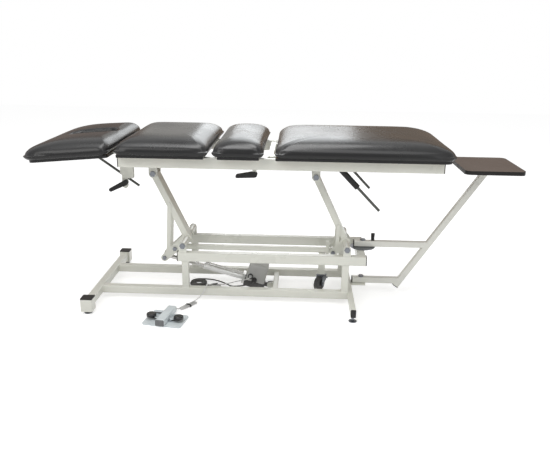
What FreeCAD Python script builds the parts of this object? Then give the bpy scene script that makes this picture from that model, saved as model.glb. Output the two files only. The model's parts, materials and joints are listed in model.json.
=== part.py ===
"""Traction table: parallelogram lift, tilting head, sliding leg section, swing-arm tray and foot control.

Millimetres. While it is modelled X runs toward the foot end, Y away from the near side, Z up from the floor,
and Y = 0 is the mid-plane. main() then moves the whole table so that its bottom centre is the origin.
"""
import FreeCAD
import Part

import math
import os

# Clearances and shared sections
RUN = 0.05             # radial running clearance of a pin in its bush
FIT = 0.05             # clearance of a piece that is fixed in a hole or bore
PLATE_GAP = 0.8        # side gap between faces that turn past each other
SKIM = 0.5             # gap under pieces that slide or swing over a face
WALL = 2.5             # wall of the square and rectangular tubes
CORNER = 4.0           # outer corner radius of the tubes
CAP_T = 4.0            # plastic end cap outside its tube
CAP_STUB = 14.0        # plastic end cap inside its tube
HEAD_T = 7.0           # height of a bolt head
HEAD_ACROSS = 3.2      # width of a bolt head, per bolt radius
PLATE = 6.0            # welded plates
PIVOT_R = 8.0          # main hinge bolts and arm pins
LINK_R = 6.0           # crank, rod and actuator pins

# Base
RAIL = 38.1            # base and mid rail width
BASE_Y = 127.4         # inner face of the base rails
BASE_Z = 27.0          # underside of the base tubes
BASE_LEFT = -954.7     # rail ends, against the cross tubes
BASE_RIGHT = 251.5
HEAD_CROSS_W = 38.0
FOOT_CROSS_W = 25.0
FOOT_CROSS_Y = 374.0   # half length of the foot cross tube
STUB = 56.0            # upright square stub at each head corner
STUB_Y = 342.0
STUB_Z = (14.0, 74.0)
STUB_FLOOR = 5.0       # plate in the bottom of a stub
POST_W = 33.0
POST_D = 32.0
POST_X = (-543.5, 235.5)
MID_Z = 202.0
MID_H = 45.0
MID_LEFT = -578.0
MID_RIGHT = 332.0
FOOT_R = 19.0          # levelling foot
FOOT_PAD_H = 8.0
FOOT_STEM_R = 6.0
FOOT_NUT = 20.0
FOOT_NUT_H = 5.0
FOOT_INSET = 19.0      # levelling foot from the end of the foot cross tube

# Lift linkage
PIVOT_X = (-553.0, 240.0)      # lower hinges of the head and foot legs
PIVOT_RISE = 34.0              # hinge above the mid rails
LEG_LENGTH = 362.0
LEG_LEAN = 25.7                # degrees toward the head end
BOLT_REACH = 34.0                # leg pivot bolt inside its hub
LEG_W = 32.0
LEG_D = 76.0
LOWER_HUB_R = 16.0
UPPER_HUB_R = 14.0
TAB_R = 18.0
TAB_T = 8.0
TAB_INSET = 2.5                # tab from the outer face of its rail
CRANK_ANGLE = 222.5            # degrees, from +X toward +Z
CRANK_A = 83.0                 # pivot to tie bar pin
CRANK_B = 156.0                # pivot to actuator pin
CRANK_R = 24.0                 # crank plate round the hinge
CRANK_END_R = 18.0
BRACE_R = 9.0
HEAD_BRACE = (130.0, 192.0)    # along the crank, along the leg
FOOT_BRACE = (60.0, 90.0)
TIE = 25.4
TIE_EYE_R = 16.0
STRIP_X = (144.0, 160.0)       # upright strip on the tie bar
STRIP_Z = (200.0, 277.0)
OPEN_PIN_Y = 12.0              # actuator pins stop here, short of the rod eye

# Caster under the tie bar
CASTER_X = 126.0
CASTER_POST = 33.0
CASTER_POST_Z = 98.0
CASTER_STEM_R = 6.0
CASTER_STEM = 24.0
CASTER_TRAIL = 18.0
CASTER_HEADING = -122.7        # degrees, the way the wheel trails
WHEEL_R = 36.0
WHEEL_W = 28.0
WHEEL_Z = 48.0
TYRE_ROUND = 6.0
FORK_T = 4.0
FORK_GAP = 1.5
AXLE_R = 5.0
BRAKE_PIN = (-13.0, 77.0)      # along the trail, up
BRAKE_PIN_R = 3.0
BRAKE_LENGTH = 34.0
BRAKE_DROP = 14.0
BRAKE_W = 20.0
BRAKE_T = 4.0
FORK_ROOM = 4.0
FORK_TOP = (-2.0, 74.0)
FORK_TOP_R = 18.0
FORK_END_R = 9.0
NECK_R = 14.0
HUB_BOSS_R = 11.0
WHEEL_DISH_R = 25.0
WHEEL_DISH = 3.0
BRAKE_HUB_R = 5.0

# Actuator, measured from its rear pivot along the push rod
REAR = (-137.0, 30.0)
REAR_EYE_R = 14.0
REAR_EYE_T = 16.0
MOUNT_TUBE = 25.4
MOUNT_TUBE_X = -118.0
GEAR_P = (-34.0, 4.0)
GEAR_W = 60.0
MOTOR_D = (30.0, 128.0)
MOTOR_P = (4.0, 100.0)
MOTOR_W = 80.0
MOTOR_ROUND = 12.0
COVER_LIP = (5.0, 4.0)         # gearbox beyond the motor cover at each end
FLANGE_T = 14.0                # plate on the front of the gearbox
FLANGE_W = 52.0
OUTER_R = 15.0
OUTER_END = 350.0
PUSH_R = 10.0
PUSH_START = 290.0
PUSH_GAP = 0.3
ROD_EYE_R = 16.0
ROD_EYE_T = 18.0
GUIDE_R = 4.0
GUIDE_P = 22.0
GUIDE_END = 345.0
GUIDE_CLIP = 8.0
GROMMET_R = 13.0
GROMMET_BORE_R = 10.5
GROMMET_L = 9.0
GROMMETS = ((108.0, 30.0), (84.0, 16.0))   # pedal and mains entries, along and across the axis
COLLAR_R = 17.5
COLLAR_L = 14.0
GEAR_ROUND = 6.0

# Top frame
TOP_Y = 242.0          # inner face of the top rails
TOP_W = 25.0
TOP_Z = 683.0
TOP_H = 52.0
TOP_LEFT = -815.0
TOP_RIGHT = 642.0
CROSS_W = 25.4
CROSS_H = 23.0
CROSS_MID_X = -133.0
CROSS_INSET = (12.0, 13.0)                 # end cross tubes from the rails' ends
HANGER_R = 20.0
HANGER_T = 8.0
BOARD_T = 12.0
CUSHION_H = 72.0
TABLE_HALF = 343.0     # half of the 27 inch wide top
TRUNK_X = (-824.0, -396.0)
MID_X = (-391.0, -150.0)
LEG_X = (-117.0, 697.0)
HEAD_X = (-1240.0, -838.0)
BOARD_INSET = 28.0
HINGE_END_INSET = 12.0           # boards reach closer to a hinge than to a free edge
STRAP_R = 6.0
STRAP_TAIL = 2.0

# Cushion section
WIDEST = 18.0          # height of the widest level above the board
CROWN = 90.0           # reach of the rounded top edge
END_ROLL = 230.0       # reach of the longer round at the table's two ends
DRAWN_IN = ((0.0, 15.0), (10.0, 4.0))      # height and inset of the sides below the widest level
CROWN_STEPS = 6
SMALL_CORNER = 7.0
CUSHION_CORNER = 32.0
HEAD_CORNERS = (60.0, 42.0)                # outer end, hinge end
LEG_END_CORNER = 60.0

# Head section
HEAD_HINGE = (-831.0, 742.0)
HEAD_TILT = 5.0        # degrees, outer end down
SLOT_X = (-1105.0, -885.0)
SLOT_HALF = 56.0
HINGE_PIN_R = 3.0
KNUCKLE_Y = (180.0, 230.0)
HEAD_ROD_R = 6.0
HEAD_ROD_TOP = (-1022.0, 700.0)
HEAD_ROD_END = (-790.0, 536.0)
HEAD_LUG_R = 11.0
CHEEK_GAP = 0.3
CHEEK_LEFT = -880.0
CHEEK_Z = (575.0, 706.0)
CHEEK_CUT = 26.0
LUG_X = (-872.0, -842.0)
LUG_Z = 525.0
CLAMP = (-852.0, 556.0)
CLAMP_R = 5.0
CLAMP_LENGTH = 84.0
CLAMP_ANGLE = 207.0
CLAMP_HUB_R = 13.0
CLAMP_TIP_R = 9.5
CLAMP_HUB_Y = 16.0
HEAD_STRAP_W = 30.0
HEAD_STRAP_HALF = 110.0
HEAD_EYE_R = 9.0
HEAD_PIN_R = 4.0
SLOT_CORNER = 48.0

# Leg section and its carriage
CARRIAGE_X = (-144.0, 640.0)
CARRIAGE_Y = 198.0
CARRIAGE_T = 8.0
CARRIAGE_BARS = (-132.0, 628.0)
SLIDER_H = 4.0
LEG_HINGE = (-112.0, 728.0)
LOCK_TOP = (153.0, 722.0)
LOCK_Y = 224.0
LOCK_ROD_R = 6.5
LOCK_ANGLE = -46.0     # degrees, from +X toward +Z
LOCK_LENGTH = 314.0
LOCK_HOUSING = (48.0, 165.0)               # along the rod
LOCK_HOUSING_R = 13.5
LOCK_LUG_T = 5.0
SLIDE_GAP = 0.3
CARRIAGE_BAR_W = 24.0
LEG_KNUCKLE_Y = (140.0, 185.0)
LOCK_PIVOT = 62.0                # housing trunnion along the rod
LOCK_EYE_R = 9.0
LOCK_PIN_R = 4.0
LOCK_EYE_HALF = 6.5
TRUNNION_R = 5.0
LOCK_HANGER_R = 12.0

# Release lever under the near rail
LEVER = (-200.0, 661.0)
LEVER_PIN_R = 4.0
LEVER_Y = (-268.0, -240.0)
LEVER_BLOCK_R = 13.0
LEVER_SLOT = 39.0      # cut through the block for its ear
LEVER_END = (-278.0, 652.0)
LEVER_END_R = 7.5

# Swing arm with its tray
ARM_X = 328.0
ARM = 30.0
ARM_TAIL = 43.0
DISC_R = 62.0
DISC_T = 3.5
ARM_LOW_Z = 57.0
ARM_BRACKET_T = 8.0
ARM_BRACKET_W = 60.0
ARM_BRACKET_END = 350.0
ARM_LOW_END = 505.0
ARM_TOP_X = 912.0
DIAGONAL_DROP = 12.0   # foot of the diagonal below the lower arm
PIN_HEAD_R = 13.0
TRAY_X = (760.0, 1037.0)
TRAY_HALF = 178.0
TRAY_T = 18.0
TRAY_CORNER = 26.0
TRAY_EDGE = 2.0
TRAY_PLATE = (150.0, 110.0)
TRAY_Z = 663.0
KNOB_X = 377.0
KNOB_R = 10.0
KNOB_H = 36.0
KNOB_TAPER = 0.8       # foot of the grip, per top radius
KNOB_STEM_R = 5.0

# Foot control
PEDAL = (-594.0, -405.0)
PEDAL_YAW = -9.4
PEDAL_PLATE_X = 92.0
PEDAL_PLATE_Y = (-68.0, 60.0)
PEDAL_PLATE_T = 8.0
PEDAL_BOX_X = 21.0
PEDAL_BOX_Y = (-80.0, 85.0)
PEDAL_BOX_H = 30.0
PEDAL_ROUND = 6.0
ROLL_R = 9.0
ROLL_X = (-75.0, -32.0)
ROLL_Y = 48.0
PAD_R = 22.5
PAD_H = 15.0
PAD_X = (-66.0, 66.0)
PAD_Y = (-10.0, -12.0)
PAD_Z = 21.0
PAD_PIN_X = 27.0
PAD_PIN_Z = 17.0
PAD_PIN_R = 3.0
PAD_BAR_W = 7.0
PAD_BAR_GAP = 8.0
PAD_BAR_H = 6.0
PAD_EYE_R = 5.0
PAD_TOE_R = 3.0
PAD_FILLET = 6.0
ROLL_FLAT = 0.5
GLAND_R = 6.0
GLAND_L = 14.0
GLAND_X = 12.0
GLAND_Z = 14.0

# Leads and plug
TINY = 1e-6
CORD_SIDES = 8
MAINS_R = 3.5
PEDAL_LEAD_R = 2.5
ARC_SHARE = 0.45
GAP_SKIP = 8                     # neighbouring samples left out of the self-gap
COIL = (-510.0, 52.0)
COIL_R = 43.5
COIL_PITCH = 7.6
COIL_TURNS = 3
COIL_Z = 4.0
HANK_START = (-553.0, -270.5)
HANK_HEADING = 55.8              # degrees from +X toward +Y
HANK_RUN = 87.0
HANK_R = 13.0
HANK_PITCH = 5.8
CLIMB_PULL = 0.2                 # share of the pitch by which a climbing turn is drawn in
HANK_LOW_SIDES = 4
HANK_SIDES = 7
HANK_Z = 3.0
QUARTER = 0.25
CLIMB_TURN = 0.5
MAINS_TAIL = ((-447, 12, 11), (-462, 12, 11), (-478, 9.5, 6), (-494, 8.5, 4), (-510, 8.5, 4))
MAINS_RUN = ((-510, 95.5, 11.6), (-470, 95.5, 11.6), (-425, 88, 9), (-385, 62, 8), (-355, 26, 10),
             (-332, -14, 18), (-306, -46, 32), (-276, -72, 46), (-250, -84, 56), (-230, -83, 62),
             (-217, -71, 66), (-213.9, -54, 67.3), (-213.9, -40.3, 67.4))
PEDAL_START = ((-564.2, -298.4, 14), (-563, -288.5, 8.6), (-559.18, -279.6, 3))
PEDAL_RUN = ((-492.71, -186.94, 8.8), (-481, -179.5, 16), (-469, -177.5, 28), (-458, -177, 42),
             (-450, -176, 59), (-443, -167, 72), (-440, -150, 77), (-436, -129, 74), (-429, -109, 62),
             (-416, -90, 51), (-396, -74, 46), (-366, -64, 48), (-330, -60, 56), (-295, -62, 67),
             (-275, -71, 75), (-261, -76, 79.5), (-249, -75.5, 83), (-239.5, -69.5, 85.5),
             (-234, -59, 86.9), (-233.4, -40.3, 87.2))
PLUG_L = 38.0
PLUG_W = 26.0
PLUG_H = 21.0
PLUG_NECK = 10.0
PLUG_SLEEVE = 5.6                # half width of the cord's sleeve
PLUG_WAIST = (8.7, 7.0)          # half width and height behind the plug's face
BLADE = (17.0, 1.6, 6.5)
BLADE_Y = 6.35
EARTH_R = 2.4
EARTH_L = 20.0
EARTH_Z = 5.5

# Axes
X_AXIS = FreeCAD.Vector(1, 0, 0)
Y_AXIS = FreeCAD.Vector(0, 1, 0)
Z_AXIS = FreeCAD.Vector(0, 0, 1)


# Small geometry helpers
def vec(x, y, z):
    return FreeCAD.Vector(x, y, z)


def polar(centre, angle, reach):
    """Return the (x, z) point at a distance and an angle in degrees from +X toward +Z."""
    turn = math.radians(angle)
    return (centre[0] + reach * math.cos(turn), centre[1] + reach * math.sin(turn))


def span(middle, width):
    return (middle - width / 2, middle + width / 2)


def box(x_span, y_span, z_span):
    low = vec(x_span[0], y_span[0], z_span[0])
    return Part.makeBox(x_span[1] - x_span[0], y_span[1] - y_span[0], z_span[1] - z_span[0], low)


def pin_y(place, y_span, radius):
    """Return a cylinder along Y through an (x, z) place."""
    return Part.makeCylinder(radius, y_span[1] - y_span[0], vec(place[0], y_span[0], place[1]), Y_AXIS)


def pin_z(x, y, z_span, radius):
    return Part.makeCylinder(radius, z_span[1] - z_span[0], vec(x, y, z_span[0]), Z_AXIS)


def hex_head(base, axis, across, height):
    """Return a hexagon head or nut that stands on base along axis."""
    side = axis.cross(Z_AXIS if abs(axis.z) < 0.9 else X_AXIS).normalize()
    reach = across / math.sqrt(3)
    corners = []
    for turn in range(7):
        spun = FreeCAD.Rotation(axis, 60 * turn).multVec(side)
        corners.append(base + spun * reach)
    return Part.Face(Part.makePolygon(corners)).extrude(axis * height)


def mirrored(shape):
    """Return the same piece on the other side of the mid-plane."""
    return shape.mirror(vec(0, 0, 0), Y_AXIS)


def pair(shape):
    return [shape, mirrored(shape)]


def group(solids):
    return Part.makeCompound(solids)


def joined(shapes):
    """Return shapes that are one piece as one solid."""
    return shapes[0].fuse(shapes[1:]).removeSplitter().Solids[0]


def section_wire(origin, across, up, half_across, half_up, corner):
    """Return a rounded rectangle, centred on origin in the plane of two unit vectors."""
    edges = []
    ends = []
    signs = ((1, 1), (-1, 1), (-1, -1), (1, -1))
    for quarter, sign in enumerate(signs):
        middle = origin + across * (sign[0] * (half_across - corner)) + up * (sign[1] * (half_up - corner))
        points = []
        for eighth in range(3):
            turn = math.radians(90 * quarter + 45 * eighth)
            points.append(middle + across * (corner * math.cos(turn)) + up * (corner * math.sin(turn)))
        edges.append(Part.Arc(*points).toShape())
        ends.append((points[0], points[2]))
    for quarter in range(4):
        edges.append(Part.makeLine(ends[quarter][1], ends[(quarter + 1) % 4][0]))
    return Part.Wire(Part.__sortEdges__(edges))


def bore_wire(origin, across, up, half_across, half_up):
    corners = []
    for sign in ((1, 1), (-1, 1), (-1, -1), (1, -1), (1, 1)):
        corners.append(origin + across * (sign[0] * half_across) + up * (sign[1] * half_up))
    return Part.makePolygon(corners)


def tube(start, end, across, width, height):
    """Return a rounded rectangular tube between two points of its axis."""
    axis = end - start
    up = vec(*axis).normalize().cross(across)
    outer = section_wire(start, across, up, width / 2, height / 2, CORNER)
    inner = bore_wire(start, across, up, width / 2 - WALL, height / 2 - WALL)
    face = Part.makeFace([outer, inner], "Part::FaceMakerBullseye")
    return face.extrude(axis).Solids[0]


def cap(end, outward, across, width, height):
    """Return the plastic plug in a tube's end: a flange outside and a stub inside."""
    up = outward.cross(across)
    rim = Part.Face(section_wire(end, across, up, width / 2, height / 2, CORNER)).extrude(outward * CAP_T)
    half_across = width / 2 - WALL - FIT
    half_up = height / 2 - WALL - FIT
    stub = Part.Face(bore_wire(end, across, up, half_across, half_up)).extrude(outward * -CAP_STUB)
    return joined([rim, stub])


def link(first, first_r, second, second_r, y_span):
    """Return a plate in the XZ plane round two centres, with straight sides tangent to both ends."""
    heading = math.atan2(second[1] - first[1], second[0] - first[0])
    reach = math.hypot(second[0] - first[0], second[1] - first[1])
    spread = math.acos((first_r - second_r) / reach)

    def rim(centre, radius, turn):
        return vec(centre[0] + radius * math.cos(turn), y_span[0], centre[1] + radius * math.sin(turn))

    far = Part.Arc(rim(second, second_r, heading + spread), rim(second, second_r, heading),
                   rim(second, second_r, heading - spread)).toShape()
    near = Part.Arc(rim(first, first_r, heading - spread), rim(first, first_r, heading + math.pi),
                    rim(first, first_r, heading + spread)).toShape()
    low = Part.makeLine(rim(second, second_r, heading - spread), rim(first, first_r, heading - spread))
    high = Part.makeLine(rim(first, first_r, heading + spread), rim(second, second_r, heading + spread))
    outline = Part.Wire(Part.__sortEdges__([far, low, near, high]))
    return Part.Face(outline).extrude(Y_AXIS * (y_span[1] - y_span[0]))


def tab(place, radius, seat_z, y_span):
    """Return an upright plate that stands or hangs from seat_z and is round about a hinge."""
    block = box(span(place[0], 2 * radius), y_span, sorted((seat_z, place[1])))
    return joined([block, pin_y(place, y_span, radius)])


def through_bolt(place, half_length, radius):
    """Return a bolt along Y with a head on each end."""
    shank = pin_y(place, (-half_length, half_length), radius)
    far = hex_head(vec(place[0], half_length, place[1]), Y_AXIS, HEAD_ACROSS * radius, HEAD_T)
    near = hex_head(vec(place[0], -half_length, place[1]), -Y_AXIS, HEAD_ACROSS * radius, HEAD_T)
    return joined([shank, far, near])


# Places that several pieces share
BASE_MID_Z = BASE_Z + RAIL / 2
RAIL_MID_Y = BASE_Y + RAIL / 2
RAIL_OUT_Y = BASE_Y + RAIL
HEAD_CROSS_X = BASE_LEFT - HEAD_CROSS_W / 2
FOOT_CROSS_X = BASE_RIGHT + FOOT_CROSS_W / 2
MID_TOP = MID_Z + MID_H
MID_MID_Z = MID_Z + MID_H / 2
HINGE_Z = MID_TOP + PIVOT_RISE
LOWER = tuple((x, HINGE_Z) for x in PIVOT_X)
UPPER = tuple(polar(place, 90 + LEG_LEAN, LEG_LENGTH) for place in LOWER)
TIE_PINS = tuple(polar(place, CRANK_ANGLE, CRANK_A) for place in LOWER)
ROD_PIN = polar(LOWER[0], CRANK_ANGLE, CRANK_B)
TAB_Y = (RAIL_OUT_Y - TAB_INSET - TAB_T, RAIL_OUT_Y - TAB_INSET)
HUB_Y = TAB_Y[0] - PLATE_GAP
LEG_Y = LEG_D / 2
CRANK_Y = (LEG_Y, LEG_Y + PLATE)
HANGER_Y = (LEG_Y + PLATE_GAP, LEG_Y + PLATE_GAP + HANGER_T)
ARM_UP_Z = MID_TOP + DISC_T + SKIM
CLEVIS_Y = (REAR_EYE_T / 2 + PLATE_GAP, REAR_EYE_T / 2 + PLATE_GAP + PLATE)


# Base
def base_rails():
    rail = tube(vec(BASE_LEFT, RAIL_MID_Y, BASE_MID_Z), vec(BASE_RIGHT, RAIL_MID_Y, BASE_MID_Z),
                Y_AXIS, RAIL, RAIL)
    return group(pair(rail))


def corner_stub():
    """Return one upright stub: a square pot, open at the top for its cap."""
    foot = vec(HEAD_CROSS_X, STUB_Y, STUB_Z[0])
    outline = Part.Face(section_wire(foot, X_AXIS, Y_AXIS, STUB / 2, STUB / 2, CORNER))
    pot = outline.extrude(Z_AXIS * (STUB_Z[1] - STUB_Z[0]))
    hollow = STUB - 2 * WALL
    return pot.cut(box(span(HEAD_CROSS_X, hollow), span(STUB_Y, hollow), (STUB_Z[0] + STUB_FLOOR, STUB_Z[1])))


def base_cross_feet():
    head_half = STUB_Y - STUB / 2
    head = tube(vec(HEAD_CROSS_X, -head_half, BASE_MID_Z), vec(HEAD_CROSS_X, head_half, BASE_MID_Z),
                X_AXIS, HEAD_CROSS_W, RAIL)
    foot = tube(vec(FOOT_CROSS_X, -FOOT_CROSS_Y, BASE_MID_Z), vec(FOOT_CROSS_X, FOOT_CROSS_Y, BASE_MID_Z),
                X_AXIS, FOOT_CROSS_W, RAIL)
    return group([head, foot] + pair(corner_stub()))


def base_posts():
    posts = []
    for x in POST_X:
        post = tube(vec(x, RAIL_MID_Y, BASE_Z + RAIL), vec(x, RAIL_MID_Y, MID_Z), X_AXIS, POST_W, POST_D)
        posts.extend(pair(post))
    return group(posts)


def mid_frame():
    rail = tube(vec(MID_LEFT, RAIL_MID_Y, MID_MID_Z), vec(MID_RIGHT, RAIL_MID_Y, MID_MID_Z),
                Y_AXIS, RAIL, MID_H)
    x = MID_RIGHT - RAIL / 2
    cross = tube(vec(x, -BASE_Y, MID_MID_Z), vec(x, BASE_Y, MID_MID_Z), X_AXIS, RAIL, MID_H)
    return group(pair(rail) + [cross])


def base_caps():
    caps = [cap(vec(HEAD_CROSS_X, STUB_Y, STUB_Z[1]), Z_AXIS, X_AXIS, STUB, STUB),
            cap(vec(FOOT_CROSS_X, FOOT_CROSS_Y, BASE_MID_Z), Y_AXIS, X_AXIS, FOOT_CROSS_W, RAIL),
            cap(vec(MID_LEFT, RAIL_MID_Y, MID_MID_Z), -X_AXIS, Y_AXIS, RAIL, MID_H),
            cap(vec(MID_RIGHT, RAIL_MID_Y, MID_MID_Z), X_AXIS, Y_AXIS, RAIL, MID_H)]
    solids = []
    for piece in caps:
        solids.extend(pair(piece))
    return group(solids)


def levelling_foot(x, y, seat_z):
    """Return one screw foot: a coned pad, a stem up to its seat and a lock nut."""
    pad = Part.makeCylinder(FOOT_R, FOOT_PAD_H / 2, vec(x, y, 0))
    cone = Part.makeCone(FOOT_R, FOOT_R / 2, FOOT_PAD_H / 2, vec(x, y, FOOT_PAD_H / 2))
    stem = pin_z(x, y, (FOOT_PAD_H, seat_z), FOOT_STEM_R)
    nut = hex_head(vec(x, y, seat_z - FOOT_NUT_H), Z_AXIS, FOOT_NUT, FOOT_NUT_H)
    return joined([pad, cone, stem, nut])


def levelling_feet():
    head = levelling_foot(HEAD_CROSS_X, STUB_Y, STUB_Z[0])
    foot = levelling_foot(FOOT_CROSS_X, FOOT_CROSS_Y - FOOT_INSET, BASE_Z)
    return group(pair(head) + pair(foot))


def pivot_tabs():
    tabs = []
    for place in LOWER:
        plate = tab(place, TAB_R, MID_TOP, TAB_Y).cut(pin_y(place, TAB_Y, PIVOT_R + FIT))
        tabs.extend(pair(plate))
    return group(tabs)


def leg_pivot_bolts():
    bolts = []
    for place in LOWER:
        shank = pin_y(place, (HUB_Y - BOLT_REACH, TAB_Y[1]), PIVOT_R)
        head = hex_head(vec(place[0], TAB_Y[1], place[1]), Y_AXIS, HEAD_ACROSS * PIVOT_R, HEAD_T)
        bolts.extend(pair(joined([shank, head])))
    return group(bolts)


def actuator_mount():
    """Return the cross tube between the base rails with the two clevis plates of the rear pivot."""
    x = MOUNT_TUBE_X + MOUNT_TUBE / 2
    z = BASE_Z + MOUNT_TUBE / 2
    cross = tube(vec(x, -BASE_Y, z), vec(x, BASE_Y, z), X_AXIS, MOUNT_TUBE, MOUNT_TUBE)
    root = box((REAR[0], MOUNT_TUBE_X), CLEVIS_Y, span(REAR[1], 2 * REAR_EYE_R))
    plate = joined([root, pin_y(REAR, CLEVIS_Y, REAR_EYE_R)]).cut(pin_y(REAR, CLEVIS_Y, LINK_R + FIT))
    return group([cross] + pair(plate) + [through_bolt(REAR, CLEVIS_Y[1], LINK_R)])


# Swing arm seats on the base
def arm_bracket():
    top = ARM_LOW_Z - SKIM
    deep = (top - ARM_BRACKET_T, top)
    plate = box((BASE_RIGHT + FOOT_CROSS_W, ARM_BRACKET_END), span(0, ARM_BRACKET_W), deep)
    return plate.cut(pin_z(ARM_X, 0, deep, PIVOT_R + FIT))


def arm_index_disc():
    disc = pin_z(ARM_X, 0, (MID_TOP, MID_TOP + DISC_T), DISC_R)
    return disc.cut(pin_z(ARM_X, 0, (MID_TOP, MID_TOP + DISC_T), PIVOT_R + FIT))


def arm_pivot_pins():
    pins = []
    seats = ((MID_TOP, ARM_UP_Z + ARM), (ARM_LOW_Z - SKIM - ARM_BRACKET_T, ARM_LOW_Z + ARM))
    for low, high in seats:
        shank = pin_z(ARM_X, 0, (low, high + SKIM), PIVOT_R)
        head = pin_z(ARM_X, 0, (high + SKIM, high + SKIM + HEAD_T), PIN_HEAD_R)
        pins.append(joined([shank, head]))
    return group(pins)


# Lift legs
def leg_tube(index):
    """Return one leg, hollowed at both ends to sit on its hinge tubes."""
    start = polar(LOWER[index], 90 + LEG_LEAN, LOWER_HUB_R / 2)
    end = polar(UPPER[index], 270 + LEG_LEAN, UPPER_HUB_R / 2)
    body = tube(vec(start[0], 0, start[1]), vec(end[0], 0, end[1]), Y_AXIS, LEG_D, LEG_W)
    for place, radius in ((LOWER[index], LOWER_HUB_R), (UPPER[index], UPPER_HUB_R)):
        body = body.cut(pin_y(place, (-LEG_D, LEG_D), radius))
    return body


def leg_hinges(index):
    hinges = []
    for place, radius, half in ((LOWER[index], LOWER_HUB_R, HUB_Y), (UPPER[index], UPPER_HUB_R, LEG_Y)):
        shell = pin_y(place, (-half, half), radius)
        hinges.append(shell.cut(pin_y(place, (-half, half), PIVOT_R + RUN)))
    return group(hinges)


def leg_cranks(index, end, brace, pins):
    """Return the two crank plates of a leg, each with the brace that ties it to the leg's side."""
    plate = link(LOWER[index], CRANK_R, end, CRANK_END_R, CRANK_Y)
    foot = polar(LOWER[index], CRANK_ANGLE, brace[0])
    top = polar(LOWER[index], 90 + LEG_LEAN, brace[1])
    plate = joined([plate, link(foot, BRACE_R, top, BRACE_R, CRANK_Y)])
    plate = plate.cut(pin_y(LOWER[index], CRANK_Y, LOWER_HUB_R + FIT))
    for place in pins:
        plate = plate.cut(pin_y(place, CRANK_Y, LINK_R + FIT))
    return group(pair(plate))


def head_crank_bolts():
    """Return the tie bar bolt and the two short actuator pins, which leave the rod eye free."""
    stub = pin_y(ROD_PIN, (OPEN_PIN_Y, CRANK_Y[1]), LINK_R)
    head = hex_head(vec(ROD_PIN[0], CRANK_Y[1], ROD_PIN[1]), Y_AXIS, HEAD_ACROSS * LINK_R, HEAD_T)
    return group([through_bolt(TIE_PINS[0], CRANK_Y[1], LINK_R)] + pair(joined([stub, head])))


def foot_crank_bolt():
    return through_bolt(TIE_PINS[1], CRANK_Y[1], LINK_R)


def tie_bar():
    z = TIE_PINS[0][1]
    half = (-TIE / 2, TIE / 2)
    start = vec(TIE_PINS[0][0] + TIE_EYE_R / 2, 0, z)
    end = vec(TIE_PINS[1][0] - TIE_EYE_R / 2, 0, z)
    bar = joined([tube(start, end, Y_AXIS, TIE, TIE)] + [pin_y(place, half, TIE_EYE_R) for place in TIE_PINS])
    for place in TIE_PINS:
        bar = bar.cut(pin_y(place, half, LINK_R + RUN))
    strip = box(STRIP_X, (-TIE / 2 - PLATE, -TIE / 2), STRIP_Z)
    return group([bar, strip])


# Caster, modelled with the wheel trailing toward +X
FORK_Y = (WHEEL_W / 2 + FORK_GAP, WHEEL_W / 2 + FORK_GAP + FORK_T)
AXLE = (CASTER_TRAIL, WHEEL_Z)


def on_caster(shape):
    shape.rotate(vec(0, 0, 0), Z_AXIS, CASTER_HEADING)
    shape.translate(vec(CASTER_X, 0, 0))
    return shape


def caster_post():
    top = TIE_PINS[0][1] - TIE / 2
    across = span(CASTER_X, CASTER_POST)
    deep = span(0, CASTER_POST)
    socket_top = CASTER_POST_Z + CASTER_STEM + CASTER_STEM_R
    hollow = box(span(CASTER_X, CASTER_POST - 2 * WALL), span(0, CASTER_POST - 2 * WALL), (socket_top, top))
    post = box(across, deep, (CASTER_POST_Z, top)).cut(hollow)
    return post.cut(pin_z(CASTER_X, 0, (CASTER_POST_Z, CASTER_POST_Z + CASTER_STEM), CASTER_STEM_R + RUN))


def caster_fork():
    crown_z = WHEEL_Z + WHEEL_R + FORK_ROOM
    crown = box(span(FORK_TOP[0], 2 * FORK_TOP_R), (-FORK_Y[1], FORK_Y[1]), (crown_z, crown_z + FORK_T))
    neck = pin_z(0, 0, (crown_z + FORK_T, CASTER_POST_Z - SKIM), NECK_R)
    stem = pin_z(0, 0, (CASTER_POST_Z - SKIM, CASTER_POST_Z + CASTER_STEM - SKIM), CASTER_STEM_R)
    side = link(FORK_TOP, FORK_TOP_R, AXLE, FORK_END_R, FORK_Y)
    body = joined([crown, neck, stem] + pair(side))
    body = body.cut(pin_y(AXLE, (-FORK_Y[1], FORK_Y[1]), AXLE_R + FIT))
    body = body.cut(pin_y(BRAKE_PIN, (-FORK_Y[1], FORK_Y[1]), BRAKE_PIN_R + FIT))
    axle = through_bolt(AXLE, FORK_Y[1], AXLE_R)
    brake_pin = pin_y(BRAKE_PIN, (-FORK_Y[1], FORK_Y[1]), BRAKE_PIN_R)
    return on_caster(group([body, axle, brake_pin]))


def caster_wheel():
    half = WHEEL_W / 2
    body = pin_y(AXLE, (-half, half), WHEEL_R)
    rims = [edge for edge in body.Edges if edge.Closed]
    body = body.makeFillet(TYRE_ROUND, rims)
    for face_y in ((-half, WHEEL_DISH - half), (half - WHEEL_DISH, half)):
        dish = pin_y(AXLE, face_y, WHEEL_DISH_R).cut(pin_y(AXLE, face_y, HUB_BOSS_R))
        body = body.cut(dish)
    return on_caster(body.cut(pin_y(AXLE, (-half, half), AXLE_R + RUN)))


def caster_brake():
    tip = (BRAKE_PIN[0] - BRAKE_LENGTH, BRAKE_PIN[1] - BRAKE_DROP)
    pedal = link(BRAKE_PIN, BRAKE_HUB_R, tip, BRAKE_T, span(0, BRAKE_W))
    return on_caster(pedal.cut(pin_y(BRAKE_PIN, span(0, BRAKE_W), BRAKE_PIN_R + RUN)))


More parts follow.
